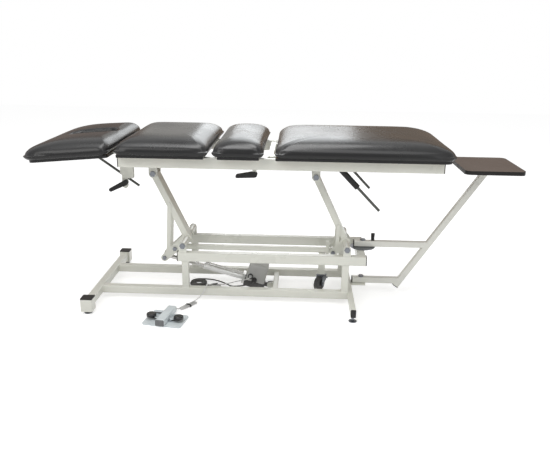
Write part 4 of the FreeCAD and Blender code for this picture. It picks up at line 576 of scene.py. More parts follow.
# Where the faces with a second finish lie, in metres in the row frame
PLUG_FACE = row(-409.0, 0.0, 0.0).x + 0.0002
PEDAL_YAW = -9.4
PEDAL_PLATE_TOP = 0.009
PAD_MIDDLES = {"pedal_pad_left": row(-660.7, -404.1, 0.0), "pedal_pad_right": row(-530.8, -427.6, 0.0)}
PAD_R = 0.0245
LEVER_PIN = row(-200.0, -268.0, 661.0)
LEVER_PIN_R = 0.0045
SLIDE_FOOT, SLIDE_LEFT = 0.7061, -0.1


class FrameDresser:
    """Gives the rigid nodes their finishes, face by face where one node holds several."""

    def __init__(self, frame: dict, finishes: Finishes) -> None:
        """Keeps the loaded frame and the finishes."""
        self.nodes = frame["nodes"]
        self.finishes = finishes

    def dress(self) -> None:
        """Dresses every rigid node."""
        for coat, names in NODE_COATS.items():
            for name in names:
                mesh = self.nodes[name].data
                mesh.materials.clear()
                mesh.materials.append(self.finishes.of(coat))
                LOG.info("node %s: %s", name, coat.value.name)
        self._second_coats()

    def _second_coats(self) -> None:
        """Paints the faces that differ from the rest of their node."""
        self.repaint("mains_plug", Coat.NICKEL, lambda centre, normal: centre.x > PLUG_FACE)
        away = level_axes(PEDAL_YAW)[1]
        self.repaint("pedal_base", Coat.BOX_FACE,
                     lambda centre, normal: normal.dot(away) < -0.9 and centre.z > PEDAL_PLATE_TOP)
        for board in NODE_COATS[Coat.PLYWOOD]:
            self.repaint(board, Coat.VINYL, lambda centre, normal: abs(normal.z) < 0.5)
        self.repaint("top_brackets", Coat.CAP,
                     lambda centre, normal: centre.z > SLIDE_FOOT and centre.x > SLIDE_LEFT)
        self.repaint("top_brackets", Coat.GRIP,
                     lambda centre, normal: (centre - LEVER_PIN).xz.length < LEVER_PIN_R)
        for name, middle in PAD_MIDDLES.items():
            self.repaint(name, Coat.PEDAL,
                         lambda centre, normal, middle=middle: (centre - middle).xy.length > PAD_R)

    def repaint(self, name: str, coat: Coat, chosen: Callable[[Vector, Vector], bool]) -> None:
        """Gives some faces of a node a second finish.

        Args:
            name: The node.
            coat: The second finish.
            chosen: Says from a face's centre and normal whether it gets that finish.
        """
        mesh = self.nodes[name].data
        mesh.materials.append(self.finishes.of(coat))
        last = len(mesh.materials) - 1
        for face in mesh.polygons:
            if chosen(face.center, face.normal):
                face.material_index = last


TUCKED = 0.004                      # what lies lower than this is fixed to the board, in metres
FOAM = {
    "quality": 5, "mass": 0.4, "tension_stiffness": 40.0, "compression_stiffness": 40.0,
    "shear_stiffness": 20.0, "bending_stiffness": 4.0, "use_pressure": True,
    "uniform_pressure_force": 4.0}
LOW_RINGS = ((0.0, 15.0), (4.0, 9.0), (9.0, 4.2), (14.0, 1.0))     # height and inset below the widest, mm
UNDER_RINGS = 6
ROLL_STEPS = 6
ISLAND = 0.02                       # the share of the plan that the innermost ring takes
LEAST_CORNER = 14.0
SLOW_WAVE = (7.0, 0.0005)           # how close the waves of the vinyl are, and how high in metres
FINE_WAVE = (24.0, 0.00008)
PLEATS = (190.0, 0.0011)


@dataclass(frozen=True)
class FaceSlot:
    """The opening in the head cushion, in mm in the level head section."""

    left: float = -1105.0
    right: float = -885.0
    half: float = 56.0
    corner: float = 48.0
    roll: float = 17.0


@dataclass
class Cushion:
    """One upholstered section: vinyl drawn over foam, tucked in under its widest level.

    Sizes are in mm in the table's frame.
    """

    name: str
    node: str
    body: str
    left: float
    right: float
    corners: Spot
    half: float = 343.0
    seat: float = 747.0
    height: float = 77.0
    widest: float = 18.0
    crown: float = 140.0
    ends: Spot = (120.0, 120.0)
    square: float = 4.5
    swell: float = 3.0
    pulled_in: float = 3.5
    tilt: float = 0.0
    hinge: Spot = (-831.0, 742.0)
    slot: FaceSlot | None = None
    around: int = 176
    top_rings: int = 24
    fill: float = 0.8
    seed: float = 0.0

    def build(self, finishes: Finishes, simulate: bool) -> bpy.types.Object:
        """Builds the cushion and puts it in the place of its CAD node.

        Args:
            finishes: The table's finishes.
            simulate: Whether the cloth pass runs.

        Returns:
            The finished piece.
        """
        piece = self._skin()
        if simulate:
            self._inflate(piece)
        self._settle(piece)
        piece.data.materials.append(finishes.of(Coat.VINYL))
        for face in piece.data.polygons:
            face.use_smooth = True
        soft = piece.modifiers.new("soft", "SUBSURF")
        soft.levels = 1
        soft.render_levels = 1
        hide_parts(self.node)
        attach(piece, self.body)
        LOG.info("cushion %s: %d faces", self.name, len(piece.data.polygons))
        return piece

    def _rounded(self, left: float, right: float, half: float, radii: Sequence[float]) -> list[Spot]:
        """Returns a rectangle with rounded corners, as points at fixed shares of each side.

        Args:
            left: The head end.
            right: The foot end.
            half: Half of the width.
            radii: The corner radii at the head end and at the foot end.

        Returns:
            Points counter-clockwise from the far corner of the foot end, as many for every rectangle.
        """
        quarter = self.around // 4
        arc = quarter // 3
        side = quarter - arc
        middle = (left + right) / 2
        corners = ((right, half, radii[1]), (left, half, radii[0]),
                   (left, -half, radii[0]), (right, -half, radii[1]))
        arcs = []
        for index, (x, y, radius) in enumerate(corners):
            centre = (x - math.copysign(radius, x - middle), y - math.copysign(radius, y))
            turns = [math.radians(90.0 * index + 90.0 * step / arc) for step in range(arc + 1)]
            arcs.append([(centre[0] + radius * math.cos(turn), centre[1] + radius * math.sin(turn))
                         for turn in turns])
        points: list[Spot] = []
        for index, bend in enumerate(arcs):
            first, last = bend[-1], arcs[(index + 1) % 4][0]
            points += bend[:-1]
            points += [(first[0] + (last[0] - first[0]) * step / side,
                        first[1] + (last[1] - first[1]) * step / side) for step in range(side)]
        return points

    def _rings(self) -> list[list[Vector]]:
        """Returns the rings of the skin, from the underside's middle round the edge to the top's middle."""
        edge = [[self._drawn(x, y, height) for x, y in self._inset(inset)] for height, inset in LOW_RINGS]
        under = self._spread(self._inset(LOW_RINGS[0][1]), self._core(), UNDER_RINGS)
        below = [[self._drawn(x, y, 0.0) for x, y in ring] for ring in under]
        rim = self._core(self.slot.roll if self.slot else 0.0)
        top = [[self._drawn(x, y, self._crown_at(x, y)) for x, y in ring]
               for ring in [self._inset(0.0), *self._spread(self._inset(0.0), rim, self.top_rings)]]
        if self.slot is None:
            return [*reversed(below), *edge, *top]
        return [*reversed(below), *edge, *top[:-1], *self._slot_wall()]

    def _inset(self, inset: float) -> list[Spot]:
        """Returns the plan outline at one inset from the widest one."""
        reach = inset + self.swell
        return self._rounded(self.left + reach, self.right - reach, self.half - reach,
                             [max(corner - reach * 0.55, LEAST_CORNER) for corner in self.corners])

    @staticmethod
    def _spread(outer: Sequence[Spot], inner: Sequence[Spot], count: int) -> list[list[Spot]]:
        """Returns outlines from an outer one to an inner one, close together near the outer one."""
        shares = [1.0 - math.cos(math.radians(90.0 * step / count)) for step in range(1, count + 1)]
        return [[(a[0] + (b[0] - a[0]) * share, a[1] + (b[1] - a[1]) * share) for a, b in zip(outer, inner)]
                for share in shares]

    def _crown_at(self, x: float, y: float) -> float:
        """Returns the height of the top above the board: an elliptic crown that rounds over every edge."""
        runs = (x - self.left - self.swell, self.right - self.swell - x)
        along = max(1.0 - run / reach for run, reach in zip(runs, self.ends))
        across = 1.0 - (self.half - self.swell - abs(y)) / self.crown
        edge = (max(along, 0.0) ** self.square + max(across, 0.0) ** self.square) ** (1.0 / self.square)
        rise = self.height - self.widest - self.swell
        return self.widest + rise * math.sqrt(max(1.0 - edge * edge, 0.0))

    def _drawn(self, x: float, y: float, height: float) -> Vector:
        """Returns a place on the skin, with the sides drawn in between the corners."""
        middle, reach = (self.left + self.right) / 2, (self.right - self.left) / 2
        along, across = (x - middle) / reach, y / self.half
        y_in = self.pulled_in * across ** 5 * max(1.0 - along * along, 0.0)
        x_in = self.pulled_in * along ** 5 * max(1.0 - across * across, 0.0)
        return Vector((x - x_in, y - y_in, self.seat + height))

    def _core(self, grow: float = 0.0) -> list[Spot]:
        """Returns the innermost outline: the face slot, grown by some width, or a small island."""
        if self.slot is not None:
            slot = self.slot
            return self._rounded(slot.left - grow, slot.right + grow, slot.half + grow,
                                 [slot.corner + grow] * 2)
        middle = (self.left + self.right) / 2
        reach = (self.right - self.left) * ISLAND
        return self._rounded(middle - reach, middle + reach, self.half * ISLAND, [reach * 0.6] * 2)

    def _slot_wall(self) -> list[list[Vector]]:
        """Returns the rings that roll the vinyl over into the face slot and down to the board."""
        slot = self.slot
        rings = []
        for step in range(ROLL_STEPS + 1):
            turn = math.radians(90.0 * step / ROLL_STEPS)
            ring = self._core(slot.roll * (1.0 - math.sin(turn)))
            drop = slot.roll * (1.0 - math.cos(turn))
            rings.append([self._drawn(x, y, self._crown_at(x, y) - drop) for x, y in ring])
        for share in (0.66, 0.33):
            rings.append([self._drawn(x, y, (self._crown_at(x, y) - slot.roll) * share)
                          for x, y in self._core()])
        return rings

    def _skin(self) -> bpy.types.Object:
        """Returns the closed mesh through the rings, turned to its tilt and put into metres."""
        turn = Matrix.Rotation(math.radians(-self.tilt), 4, "Y")
        pivot = Vector((self.hinge[0], 0.0, self.hinge[1]))
        rings = [[row(*(pivot + turn @ (point - pivot))) for point in ring] for ring in self._rings()]
        return lofted(self.name, rings, capped=self.slot is None, weld=0.00005)

    def _inflate(self, piece: bpy.types.Object, frames: int = 16, cap: float = 0.005) -> None:
        """Swells the foam under the vinyl with a short cloth run, and keeps the result.

        Args:
            piece: The cushion.
            frames: How long the run lasts.
            cap: How far a point may move, in metres.
        """
        held = piece.vertex_groups.new(name="tucked")
        low = min(vertex.co.z for vertex in piece.data.vertices) if self.tilt == 0.0 else None
        for vertex in piece.data.vertices:
            level = self._height_of(vertex.co)
            if low is not None and vertex.co.z < low + TUCKED or level < TUCKED:
                held.add([vertex.index], 1.0, "REPLACE")
        cloth = piece.modifiers.new("foam", "CLOTH")
        for key, value in FOAM.items():
            setattr(cloth.settings, key, value)
        cloth.settings.vertex_group_mass = held.name
        cloth.settings.effector_weights.gravity = 0.0
        cloth.point_cache.frame_start = 1
        cloth.point_cache.frame_end = frames
        rest = [vertex.co.copy() for vertex in piece.data.vertices]
        scene = bpy.context.scene
        for frame in range(1, frames + 1):
            scene.frame_set(frame)
        posed = piece.evaluated_get(bpy.context.evaluated_depsgraph_get())
        moved = [vertex.co.copy() for vertex in posed.data.vertices]
        piece.modifiers.remove(cloth)
        scene.frame_set(1)
        shifts = self._evened(piece.data, [end - start for start, end in zip(rest, moved)])
        for vertex, start, shift in zip(piece.data.vertices, rest, shifts):
            if shift.length > cap:
                shift = shift * (cap / shift.length)
            vertex.co = start + shift
        piece.data.update()

    @staticmethod
    def _evened(mesh: bpy.types.Mesh, shifts: list[Vector], passes: int = 14) -> list[Vector]:
        """Returns the swelling without its crumples: each move is averaged with those of its neighbours."""
        beside = neighbours(mesh)
        for _ in range(passes):
            shifts = [(own + sum((shifts[near] for near in nears), Vector())) / (1 + len(nears))
                      for own, nears in zip(shifts, beside)]
        return shifts

    def _height_of(self, place: Vector) -> float:
        """Returns how far a place in metres lies above the board, in the level section."""
        turn = Matrix.Rotation(math.radians(self.tilt), 4, "Y")
        pivot = row(self.hinge[0], 0.0, self.hinge[1])
        return (pivot + turn @ (place - pivot)).z - self.seat * MM

    def _relax(self, mesh: bpy.types.Mesh, passes: int = 30, top_share: float = 0.55) -> None:
        """Evens the heights of the crown, so that no crease is left where its rings close.

        Args:
            mesh: The cushion's mesh.
            passes: How often each height is averaged with those around it.
            top_share: The share of the cushion's height above which it is evened.
        """
        beside = neighbours(mesh)
        floor = top_share * self.height * MM
        crown = [vertex.index for vertex in mesh.vertices if self._height_of(vertex.co) > floor]
        levels = [vertex.co.z for vertex in mesh.vertices]
        for _ in range(passes):
            evened = [(levels[own] + sum(levels[near] for near in beside[own]) / len(beside[own])) / 2
                      for own in crown]
            for own, level in zip(crown, evened):
                levels[own] = level
        for own in crown:
            mesh.vertices[own].co.z = levels[own]
        mesh.update()

    def _settle(self, piece: bpy.types.Object) -> None:
        """Adds the slow unevenness of stretched vinyl and the small pleats tucked under the corners."""
        mesh = piece.data
        if self.slot is None:
            self._relax(mesh)
        normals = [vertex.normal.copy() for vertex in mesh.vertices]
        middle = Vector((row((self.left + self.right) / 2, 0.0, 0.0).x, 0.0, 0.0))
        reach = Vector(((self.right - self.left) / 2 * MM, self.half * MM, 1.0))
        for vertex, normal in zip(mesh.vertices, normals):
            height = self._height_of(vertex.co)
            if height < 0.001:
                continue
            where = vertex.co + Vector((self.seed, self.seed * 0.7, 0.0))
            wave = sum(noise.noise(where * close) * high for close, high in (SLOW_WAVE, FINE_WAVE))
            corner_x = min(abs(vertex.co.x - middle.x) / reach.x, 1.0)
            corner_y = min(abs(vertex.co.y) / reach.y, 1.0)
            near = max(0.0, corner_x * corner_y - 0.8) / 0.2
            if height < self.widest * MM:
                angle = math.atan2(vertex.co.y, vertex.co.x - middle.x)
                wave += PLEATS[1] * near * math.sin(angle * PLEATS[0])
            vertex.co = vertex.co + normal * wave
        mesh.update()


CUSHIONS = (
    Cushion("head_pad", "head_cushion", "head", -1240.0, -838.0, (60.0, 42.0), ends=(240.0, 60.0), tilt=5.0,
            slot=FaceSlot(), seed=1.3),
    Cushion("trunk_pad", "trunk_cushion", "top_frame", -824.0, -396.0, (32.0, 32.0), seed=2.9),
    Cushion("mid_pad", "mid_cushion", "top_frame", -391.0, -150.0, (32.0, 32.0), seed=4.7),
    Cushion("leg_pad", "leg_cushion", "leg_section", -117.0, 697.0, (32.0, 60.0), ends=(120.0, 240.0),
            seed=6.1),
)


MAINS_TAIL: tuple[Point, ...] = (
    (-447, 12, 11), (-462, 12, 11), (-478, 9.5, 6), (-494, 8.5, 4), (-510, 8.5, 4))
MAINS_RUN: tuple[Point, ...] = (
    (-510, 95.5, 11.6), (-470, 95.5, 11.6), (-425, 88, 9), (-385, 62, 8), (-355, 26, 10), (-332, -14, 18),
    (-306, -46, 32), (-276, -72, 46), (-250, -84, 56), (-230, -83, 62), (-217, -71, 66),
    (-213.9, -54, 67.3), (-213.9, -40.3, 67.4))
PEDAL_START: tuple[Point, ...] = (
    (-566.0, -309.3, 14), (-564.2, -298.4, 14), (-563, -288.5, 8.6), (-559.18, -279.6, 3))
PEDAL_RUN: tuple[Point, ...] = (
    (-492.71, -186.94, 8.8), (-481, -179.5, 16), (-469, -177.5, 28), (-458, -177, 42), (-450, -176, 59),
    (-443, -167, 72), (-440, -150, 77), (-436, -129, 74), (-429, -109, 62), (-416, -90, 51),
    (-396, -74, 46), (-366, -64, 48), (-330, -60, 56), (-295, -62, 67), (-275, -71, 75), (-261, -76, 79.5),
    (-249, -75.5, 83), (-239.5, -69.5, 85.5), (-234, -59, 86.9), (-233.4, -40.3, 87.2))


SLEEVE_RIBS = 5
SLEEVE_POINTS = 20
BAND_POINTS = 32
BAND_SQUARE = 0.45                  # 1 makes a tie's loop round, less makes it squarer
COIL_TIE_TURN = 205.0
COIL_TIE_REACH = 32.1


@dataclass(frozen=True)
class Coil:
    """The mains lead's coil, in mm: in on the floor, up at the inner turn, out on the layer above."""

    centre: Spot = (-510.0, 52.0)
    radius: float = 43.5
    pitch: float = 7.6
    turns: int = 3
    climb: float = 0.5
    pull: float = 0.2
    floor: float = 4.0
    per_turn: int = 20

    def points(self) -> list[Point]:
        """Returns the coil's control points, from the floor layer's outer end to the upper layer's."""
        inner = self.radius - self.pitch * self.turns
        last = 2 * self.turns + self.climb
        swell = 1.0 / math.cos(math.pi / self.per_turn)
        points: list[Point] = []
        for step in range(round(last * self.per_turn) + 1):
            turned = step / self.per_turn
            level = min(1.0, max(0.0, (turned - self.turns) / self.climb))
            if turned <= self.turns:
                radius = self.radius - self.pitch * turned
            elif turned >= self.turns + self.climb:
                radius = inner + self.pitch * (turned - self.turns - self.climb)
            else:
                radius = inner - self.pull * self.pitch
            angle = math.radians(-90.0 - 360.0 * turned)
            points.append((self.centre[0] + radius * swell * math.cos(angle),
                           self.centre[1] + radius * swell * math.sin(angle),
                           self.floor + self.pitch * level))
        return points


@dataclass(frozen=True)
class Hank:
    """The pedal lead's tied hank, in mm: long loops, in on the floor and out on the layer above."""

    start: Spot = (-553.0, -270.5)
    heading: float = 55.8
    run: float = 87.0
    radius: float = 13.0
    pitch: float = 5.8
    low_sides: int = 4
    sides: int = 7
    pull: float = 0.2
    floor: float = 3.0
    bend_steps: int = 6

    def axes(self) -> tuple[Vector, Vector, Vector]:
        """Returns the hank's centre on the floor layer, its long direction and the direction across it."""
        ahead, left = level_axes(self.heading)
        centre = Vector((*self.start, self.floor)) + ahead * (self.run / 2) - left * self.radius
        return centre, ahead, left

    def side(self, index: int) -> tuple[float, int]:
        """Returns a side's distance from the middle and its layer."""
        if index < self.low_sides:
            return self.radius - self.pitch / 2 * index, 0
        inner = self.radius - self.pitch / 2 * (self.low_sides - 1)
        return inner + self.pitch / 2 * (index - self.low_sides), 1

    def points(self) -> list[Point]:
        """Returns the hank's control points."""
        centre, ahead, left = self.axes()
        points: list[Point] = []
        for index in range(self.sides):
            way = 1 if index % 2 == 0 else -1
            aside, layer = self.side(index)
            lie = centre + left * (way * aside) + Vector((0.0, 0.0, self.pitch * layer))
            points.append(tuple(lie - ahead * (way * self.run / 2)))
            points.append(tuple(lie + ahead * (way * self.run / 2)))
            if index == self.sides - 1:
                break
            next_aside, next_layer = self.side(index + 1)
            radius = (aside + next_aside) / 2
            rise = self.pitch * (next_layer - layer)
            hub = centre + ahead * (way * self.run / 2) + left * (way * (aside - next_aside) / 2)
            swell = 1.0 / math.cos(math.pi / self.bend_steps / 2)
            for step in range(1, self.bend_steps):
                turn = math.pi * step / self.bend_steps
                out = ahead * (way * (radius * swell - self.pull * rise) * math.sin(turn))
                over = left * (way * radius * swell * math.cos(turn))
                level = self.pitch * layer + rise * step / self.bend_steps
                points.append(tuple(hub + out + over + Vector((0.0, 0.0, level))))
        return points


@dataclass
class Lead:
    """A free lead on one smooth spline, of its real thickness; its real length is listed with it."""

    name: str
    coat: Coat
    slot: str
    route: Sequence[Point]
    radius: float
    length: float
    far_end: str
    lay: str
    nodes: tuple[str, ...]
    far_nodes: tuple[str, ...]
    boot: tuple[float, float, float, float]

    def build(self, finishes: Finishes) -> bpy.types.Object:
        """Args:
            finishes: The table's finishes.

        Returns:
            The lead.
        """
        curve = tube_curve(self.name, self.radius, 3)
        curve.resolution_u = 6
        spline = curve.splines.new("NURBS")
        spline.points.add(len(self.route) - 1)
        for point, place in zip(spline.points, self.route):
            point.co = (*row(*place), 1.0)
        spline.order_u = 3
        spline.use_endpoint_u = True
        curve.materials.append(finishes.of(self.coat))
        lead = add_object(self.name, curve)
        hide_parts(*self.nodes)
        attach(lead, "base")
        sleeve = self._sleeve(finishes)
        LOG.info("lead %s: %d points", self.name, len(self.route))
        return lead

    def _sleeve(self, finishes: Finishes) -> bpy.types.Object:
        """Returns the ribbed, tapered strain relief round the lead where it leaves the gearbox."""
        start, wide, narrow, long = self.boot
        x, _, z = self.route[0]
        profile: list[Spot] = [(0.0, wide * 0.7), (0.6, wide)]
        span = (long - 4.0) / SLEEVE_RIBS
        for rib in range(SLEEVE_RIBS):
            base = 3.0 + (long - 4.0) * rib / SLEEVE_RIBS
            girth = wide + (narrow - wide) * (rib + 0.5) / SLEEVE_RIBS
            profile += [(base, girth * 0.9), (base + span * 0.2, girth), (base + span * 0.7, girth),
                        (base + span * 0.85, girth * 0.86)]
        profile += [(long - 0.6, narrow), (long, narrow * 0.85)]
        turns = [2 * math.pi * step / SLEEVE_POINTS for step in range(SLEEVE_POINTS)]
        rings = [[row(x + girth * math.cos(turn), start - along, z + girth * math.sin(turn))
                  for turn in turns] for along, girth in profile]
        sleeve = lofted(self.name + "_sleeve", rings, capped=True)
        for face in sleeve.data.polygons:
            face.use_smooth = True
        sleeve.data.materials.append(finishes.of(self.coat))
        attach(sleeve, "actuator")
        return sleeve


def cable_leads() -> tuple[Lead, Lead]:
    """Returns the mains lead and the foot control's lead, each from the gearbox outward."""
    mains = [*reversed(MAINS_RUN[1:]), *reversed(Coil().points()), *reversed(MAINS_TAIL[:-1])]
    pedal = [*reversed(PEDAL_RUN), *reversed(Hank().points()), *reversed(PEDAL_START)]
    return (
        Lead("mains_lead", Coat.MAINS, "cable_black", mains, 3.5, 1748.0, "plug", "coiled",
             ("mains_lead_tail", "mains_lead_coil", "mains_lead_run"), ("mains_plug",),
             (-30.5, 9.8, 6.6, 27.0)),
        Lead("pedal_lead", Coat.LEAD, "cable_grey", pedal, 2.5, 1206.0, "tool", "coiled",
             ("pedal_lead_start", "pedal_lead_hank", "pedal_lead_run"),
             ("pedal_base", "pedal_pad_left", "pedal_pad_right"), (-30.5, 9.8, 5.6, 25.0)),
    )


@dataclass(frozen=True)
class TieBand:
    """A flat tie round a wound lead. In mm."""

    name: str
    centre: Spot
    along: float
    half: float
    top: float
    width: float = 9.0
    thick: float = 0.9
    floor: float = 0.1

    def build(self, finishes: Finishes) -> bpy.types.Object:
        """Returns the band, riding on the base with its lead."""
        ahead, across = level_axes(self.along)
        middle = (self.floor + self.top) / 2
        tall = (self.top - self.floor) / 2
        round_off = self.thick * 1.15
        loops = []
        for shift, grow in ((-0.5, 0.0), (-0.5, self.thick), (-0.3, round_off), (0.3, round_off),
                            (0.5, self.thick), (0.5, 0.0)):
            loop = []
            for step in range(BAND_POINTS):
                angle = 2 * math.pi * step / BAND_POINTS
                reach = [math.copysign(abs(part) ** BAND_SQUARE, part)
                         for part in (math.cos(angle), math.sin(angle))]
                spot = Vector((*self.centre, middle)) + ahead * (shift * self.width)
                spot = spot + across * (reach[0] * (self.half + grow))
                spot.z = max(self.floor, middle + reach[1] * (tall + grow))
                loop.append(row(*spot))
            loops.append(loop)
        band = lofted(self.name, loops, capped=False)
        band.data.materials.append(finishes.of(Coat.TIE))
        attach(band, "base")
        LOG.info("tie %s", self.name)
        return band


def tie_bands() -> tuple[TieBand, TieBand]:
    """Returns the ties of the hank and of the coil, which is tied on one side."""
    hank, coil = Hank(), Coil()
    middle = hank.axes()[0]
    turn, reach = math.radians(COIL_TIE_TURN), COIL_TIE_REACH
    beside = (coil.centre[0] + reach * math.cos(turn), coil.centre[1] + reach * math.sin(turn))
    return (TieBand("hank_tie", (middle.x, middle.y), hank.heading, half=15.9, top=11.7),
            TieBand("coil_tie", beside, COIL_TIE_TURN + 90.0, half=15.4, top=15.5))


@dataclass
class WeldBeads:
    """Painted fillet beads where the tubes and tabs of one body meet. In mm."""

    name: str
    body: str
    coat: Coat
    loops: list[tuple[list[Point], bool]] = field(default_factory=list)
    size: float = 1.7

    def around(self, x: Spot, y: Spot, z: float) -> None:
        """Adds a bead round an upright tube at a height."""
        self.loops.append(([(x[0], y[0], z), (x[1], y[0], z), (x[1], y[1], z), (x[0], y[1], z)], True))

    def line(self, *points: Point) -> None:
        """Adds an open bead through some points."""
        self.loops.append((list(points), False))

    def build(self, finishes: Finishes) -> bpy.types.Object:
        """Returns the beads as one piece, rippled along their length."""
        curve = tube_curve(self.name, self.size, 2)
        for points, closed in self.loops:
            path = self._rippled(points, closed)
            spline = curve.splines.new("POLY")
            spline.points.add(len(path) - 1)
            for index, (point, place) in enumerate(zip(spline.points, path)):
                point.co = (*row(*place), 1.0)
                point.radius = 1.0 + 0.16 * math.cos(index * math.pi)
            spline.use_cyclic_u = closed
            spline.use_smooth = True
        curve.materials.append(finishes.of(self.coat))
        beads = add_object(self.name, curve)
        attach(beads, self.body)
        LOG.info("beads %s: %d runs", self.name, len(self.loops))
        return beads

    @staticmethod
    def _rippled(points: Sequence[Point], closed: bool, step: float = 2.6) -> list[Point]:
        """Returns the bead's path in even short steps, an even number of them on a closed path."""
        corners = [*points, points[0]] if closed else list(points)
        path: list[Point] = []
        for first, last in zip(corners, corners[1:]):
            start, run = Vector(first), Vector(last) - Vector(first)
            count = 2 * max(1, round(run.length / step / 2))
            path += [tuple(start + run * (index / count)) for index in range(count)]
        if not closed:
            path.append(tuple(corners[-1]))
        return path


# Where the beads of the base run, in the table's mm
POSTS_X, POST_Y, POST_LEVELS = (-543.5, 235.5), 146.45, (65.3, 201.8)
POST_HALF_X, POST_HALF_Y = 16.5, 16.0
TABS_X, TAB_FACES, TAB_FOOT, TAB_HALF = (-553.0, 240.0), (163.2, 154.8), 247.2, 17.0
RAIL_ENDS, RAIL_FACES = (-954.5, 251.3), (127.4, 165.5)
RAIL_EDGES, RAIL_LEVELS, RAIL_TOP = (131.0, 162.0), (30.0, 62.0), 65.3
SIDES = (-1.0, 1.0)


def weld_beads() -> WeldBeads:
    """Returns the beads of the base: round the posts, along the pivot tabs and at the rails' ends."""
    base = WeldBeads("base_welds", "base", Coat.FRAME)
    for x in POSTS_X:
        for side in SIDES:
            depth = (side * POST_Y - POST_HALF_Y, side * POST_Y + POST_HALF_Y)
            for level in POST_LEVELS:
                base.around((x - POST_HALF_X, x + POST_HALF_X), depth, level)
    for x in TABS_X:
        for side in SIDES:
            for face in TAB_FACES:
                base.line(*((x + reach, side * face, TAB_FOOT) for reach in (-TAB_HALF, TAB_HALF)))
    for side in SIDES:
        for face in RAIL_FACES:
            for x in RAIL_ENDS:
                base.line(*((x, side * face, level) for level in RAIL_LEVELS))
        for x in RAIL_ENDS:
            base.line(*((x, side * edge, RAIL_TOP) for edge in RAIL_EDGES))
    return base


@dataclass(frozen=True)
class SoftLamp:
    """A large soft studio lamp."""

    name: str
    place: Point
    aim: Point
    size: Spot
    power: float
    tint: Colour = WHITE
    gloss_only: bool = False

    def build(self) -> bpy.types.Object:
        """Returns the lamp, turned to its aim."""
        light = bpy.data.lights.new(self.name, "AREA")
        light.shape = "RECTANGLE"
        light.size, light.size_y = self.size
        light.energy = self.power
        light.color = self.tint
        lamp = add_object(self.name, light)
        lamp.location = self.place
        lamp.visible_diffuse = not self.gloss_only
        lamp.rotation_mode = "QUATERNION"
        lamp.rotation_quaternion = (Vector(self.aim) - Vector(self.place)).to_track_quat("-Z", "Y")
        return lamp


@dataclass(frozen=True)
class StudioPanel:
    """A plain panel out of the picture that shapes what the vinyl reflects."""

    name: str
    across: Spot
    low: Spot
    high: Spot
    tone: Colour
    behind: float = 3200.0

    def build(self) -> bpy.types.Object:
        """Returns the panel, upright behind the table; it lights nothing and only shows in gloss."""
        mesh = bpy.data.meshes.new(self.name)
        (left, right), y = self.across, self.behind
        corners = ((left, self.low[0]), (right, self.low[1]), (right, self.high[1]), (left, self.high[0]))
        mesh.from_pydata([row(x, y, z) for x, z in corners], [], [(0, 1, 2, 3)])
        made, wiring = bare_material(self.name)
        glow = wiring.add("ShaderNodeEmission", {"Color": rgba(self.tone), "Strength": 1.0})
        wiring.add("ShaderNodeOutputMaterial", {"Surface": glow.outputs[0]})
        mesh.materials.append(made)
        panel = add_object(self.name, mesh)
        for sight in ("camera", "diffuse", "transmission", "shadow"):
            setattr(panel, "visible_" + sight, False)
        return panel


# Heights of the panels at their left and right edges, in mm
PANEL_FOOT, PANEL_STEP = (80.0, 80.0), (1110.0, 1290.0)
PANEL_TOP, PALE_TOP = (2600.0, 2600.0), (3600.0, 3600.0)


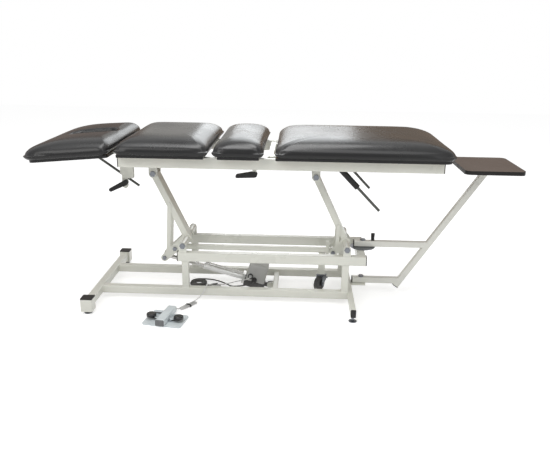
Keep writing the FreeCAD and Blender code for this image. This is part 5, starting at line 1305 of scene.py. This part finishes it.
@dataclass
class Studio:
    """The pale floor, the soft light and the background."""

    floor_size: float = 16.0
    floor_drop: float = 0.0004
    floor_tone: Colour = (0.86, 0.86, 0.86)
    floor_lift: float = 0.5
    ambient: float = 0.55
    lamps: tuple[SoftLamp, ...] = (
        SoftLamp("key_lamp", (-2.2, -2.6, 3.0), (-0.3, 0.0, 0.5), (2.2, 1.6), 42.0, (1.0, 0.99, 0.97)),
        SoftLamp("fill_lamp", (2.6, -2.4, 2.4), (0.3, 0.0, 0.5), (2.0, 1.6), 20.0),
        SoftLamp("top_lamp", (-0.2, 0.1, 3.2), (0.0, 0.0, 0.5), (2.8, 0.9), 50.0),
        SoftLamp("sheen_lamp", (-0.3, -0.7, 3.0), (-0.1, -0.2, 0.6), (3.6, 1.3), 38.0, gloss_only=True),
    )
    panels: tuple[StudioPanel, ...] = (
        StudioPanel("brown_panel_left", (-6000.0, -1650.0), PANEL_FOOT, PANEL_TOP, (0.33, 0.27, 0.235)),
        StudioPanel("grey_panel", (-1650.0, -850.0), PANEL_FOOT, PANEL_TOP, (0.72, 0.70, 0.665)),
        StudioPanel("brown_panel_middle", (-850.0, 520.0), PANEL_FOOT, PANEL_STEP, (0.42, 0.335, 0.265)),
        StudioPanel("brown_panel_right", (520.0, 5000.0), PANEL_FOOT, PANEL_TOP, (0.36, 0.285, 0.225)),
        StudioPanel("pale_panel", (-850.0, 520.0), PANEL_STEP, PALE_TOP, (2.9, 2.98, 3.02)),
    )

    def build(self) -> None:
        """Builds the floor, the world, the lamps and the panels."""
        self._floor()
        self._world()
        for lamp in self.lamps:
            lamp.build()
        for panel in self.panels:
            panel.build()
        LOG.info("studio: %d lamps", len(self.lamps))

    def _floor(self) -> None:
        """Builds the floor: matt, lifted toward white for the camera, keeping the shadow."""
        half = self.floor_size / 2
        corners = ((-half, -half), (half, -half), (half, half), (-half, half))
        mesh = bpy.data.meshes.new("floor")
        mesh.from_pydata([(x, y, -self.floor_drop) for x, y in corners], [], [(0, 1, 2, 3)])
        made, wiring = bare_material("floor")
        matt = wiring.add("ShaderNodeBsdfDiffuse", {"Color": rgba(self.floor_tone)})
        strength = wiring.math("MULTIPLY", self._seen(wiring), self.floor_lift)
        lift = wiring.add("ShaderNodeEmission", {"Strength": strength})
        both = wiring.add("ShaderNodeAddShader", {0: matt.outputs[0], 1: lift.outputs[0]})
        wiring.add("ShaderNodeOutputMaterial", {"Surface": both.outputs[0]})
        mesh.materials.append(made)
        floor = add_object("floor", mesh)

    @staticmethod
    def _seen(wiring: Wiring) -> Socket:
        """Returns 1 for rays from the camera and for mirrored and transmitted ones."""
        path = wiring.add("ShaderNodeLightPath")
        direct = wiring.math("ADD", path.outputs["Is Camera Ray"], path.outputs["Is Glossy Ray"],
                             clamp=True)
        return wiring.math("ADD", direct, path.outputs["Is Transmission Ray"], clamp=True)

    def _world(self) -> None:
        """Builds the world: even soft light, and white where it is seen."""
        world = bpy.data.worlds.new("studio")
        world.use_nodes = True
        world.node_tree.nodes.clear()
        wiring = Wiring(world.node_tree)
        light, white = (wiring.add("ShaderNodeBackground", {"Color": rgba(WHITE), "Strength": strength})
                        for strength in (self.ambient, 1.0))
        both = wiring.add("ShaderNodeMixShader",
                          {0: self._seen(wiring), 1: light.outputs[0], 2: white.outputs[0]})
        wiring.add("ShaderNodeOutputWorld", {"Surface": both.outputs[0]})
        bpy.context.scene.world = world


@dataclass(frozen=True)
class PhotoCamera:
    """The camera at the photograph's place, in the table's mm and degrees."""

    place: Point = (0.0, -3105.0, 1281.1)
    yaw: float = -2.1
    pitch: float = -16.7
    roll: float = 0.8
    lens: float = 42.36
    sensor: float = 36.0

    def build(self) -> bpy.types.Object:
        """Returns the camera, set as the scene's own."""
        data = bpy.data.cameras.new("photo_camera")
        data.sensor_fit = "HORIZONTAL"
        data.sensor_width = self.sensor
        data.lens = self.lens
        data.clip_start, data.clip_end = 0.05, 60.0
        yaw, pitch, roll = (math.radians(value) for value in (self.yaw, self.pitch, self.roll))
        ahead = Vector((math.sin(yaw) * math.cos(pitch), math.cos(yaw) * math.cos(pitch), math.sin(pitch)))
        right = Vector((math.cos(yaw), -math.sin(yaw), 0.0))
        up = right.cross(ahead)
        side = right * math.cos(roll) + up * math.sin(roll)
        crown = up * math.cos(roll) - right * math.sin(roll)
        turn = Matrix((side, crown, -ahead)).transposed().to_4x4()
        camera = add_object("photo_camera", data)
        camera.matrix_world = Matrix.Translation(row(*self.place)) @ turn
        bpy.context.scene.camera = camera
        LOG.info("camera: lens %.2f mm", self.lens)
        return camera


def clear_scene() -> None:
    """Removes the objects that a new file starts with."""
    for item in list(bpy.data.objects):
        bpy.data.objects.remove(item)


def main() -> None:
    """Builds the dressed table and its studio."""
    logging.basicConfig(level=logging.INFO, format="%(name)s: %(message)s")
    clear_scene()
    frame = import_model()
    bpy.context.scene.view_settings.view_transform = "Standard"
    PhotoCamera().build()
    finishes = Finishes()
    FrameDresser(frame, finishes).dress()
    for lead in cable_leads():
        lead.build(finishes)
    for band in tie_bands():
        band.build(finishes)
    for cushion in CUSHIONS:
        cushion.build(finishes, simulate=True)
    weld_beads().build(finishes)
    Studio().build()
    bpy.context.view_layer.update()


if __name__ == "__main__":
    main()
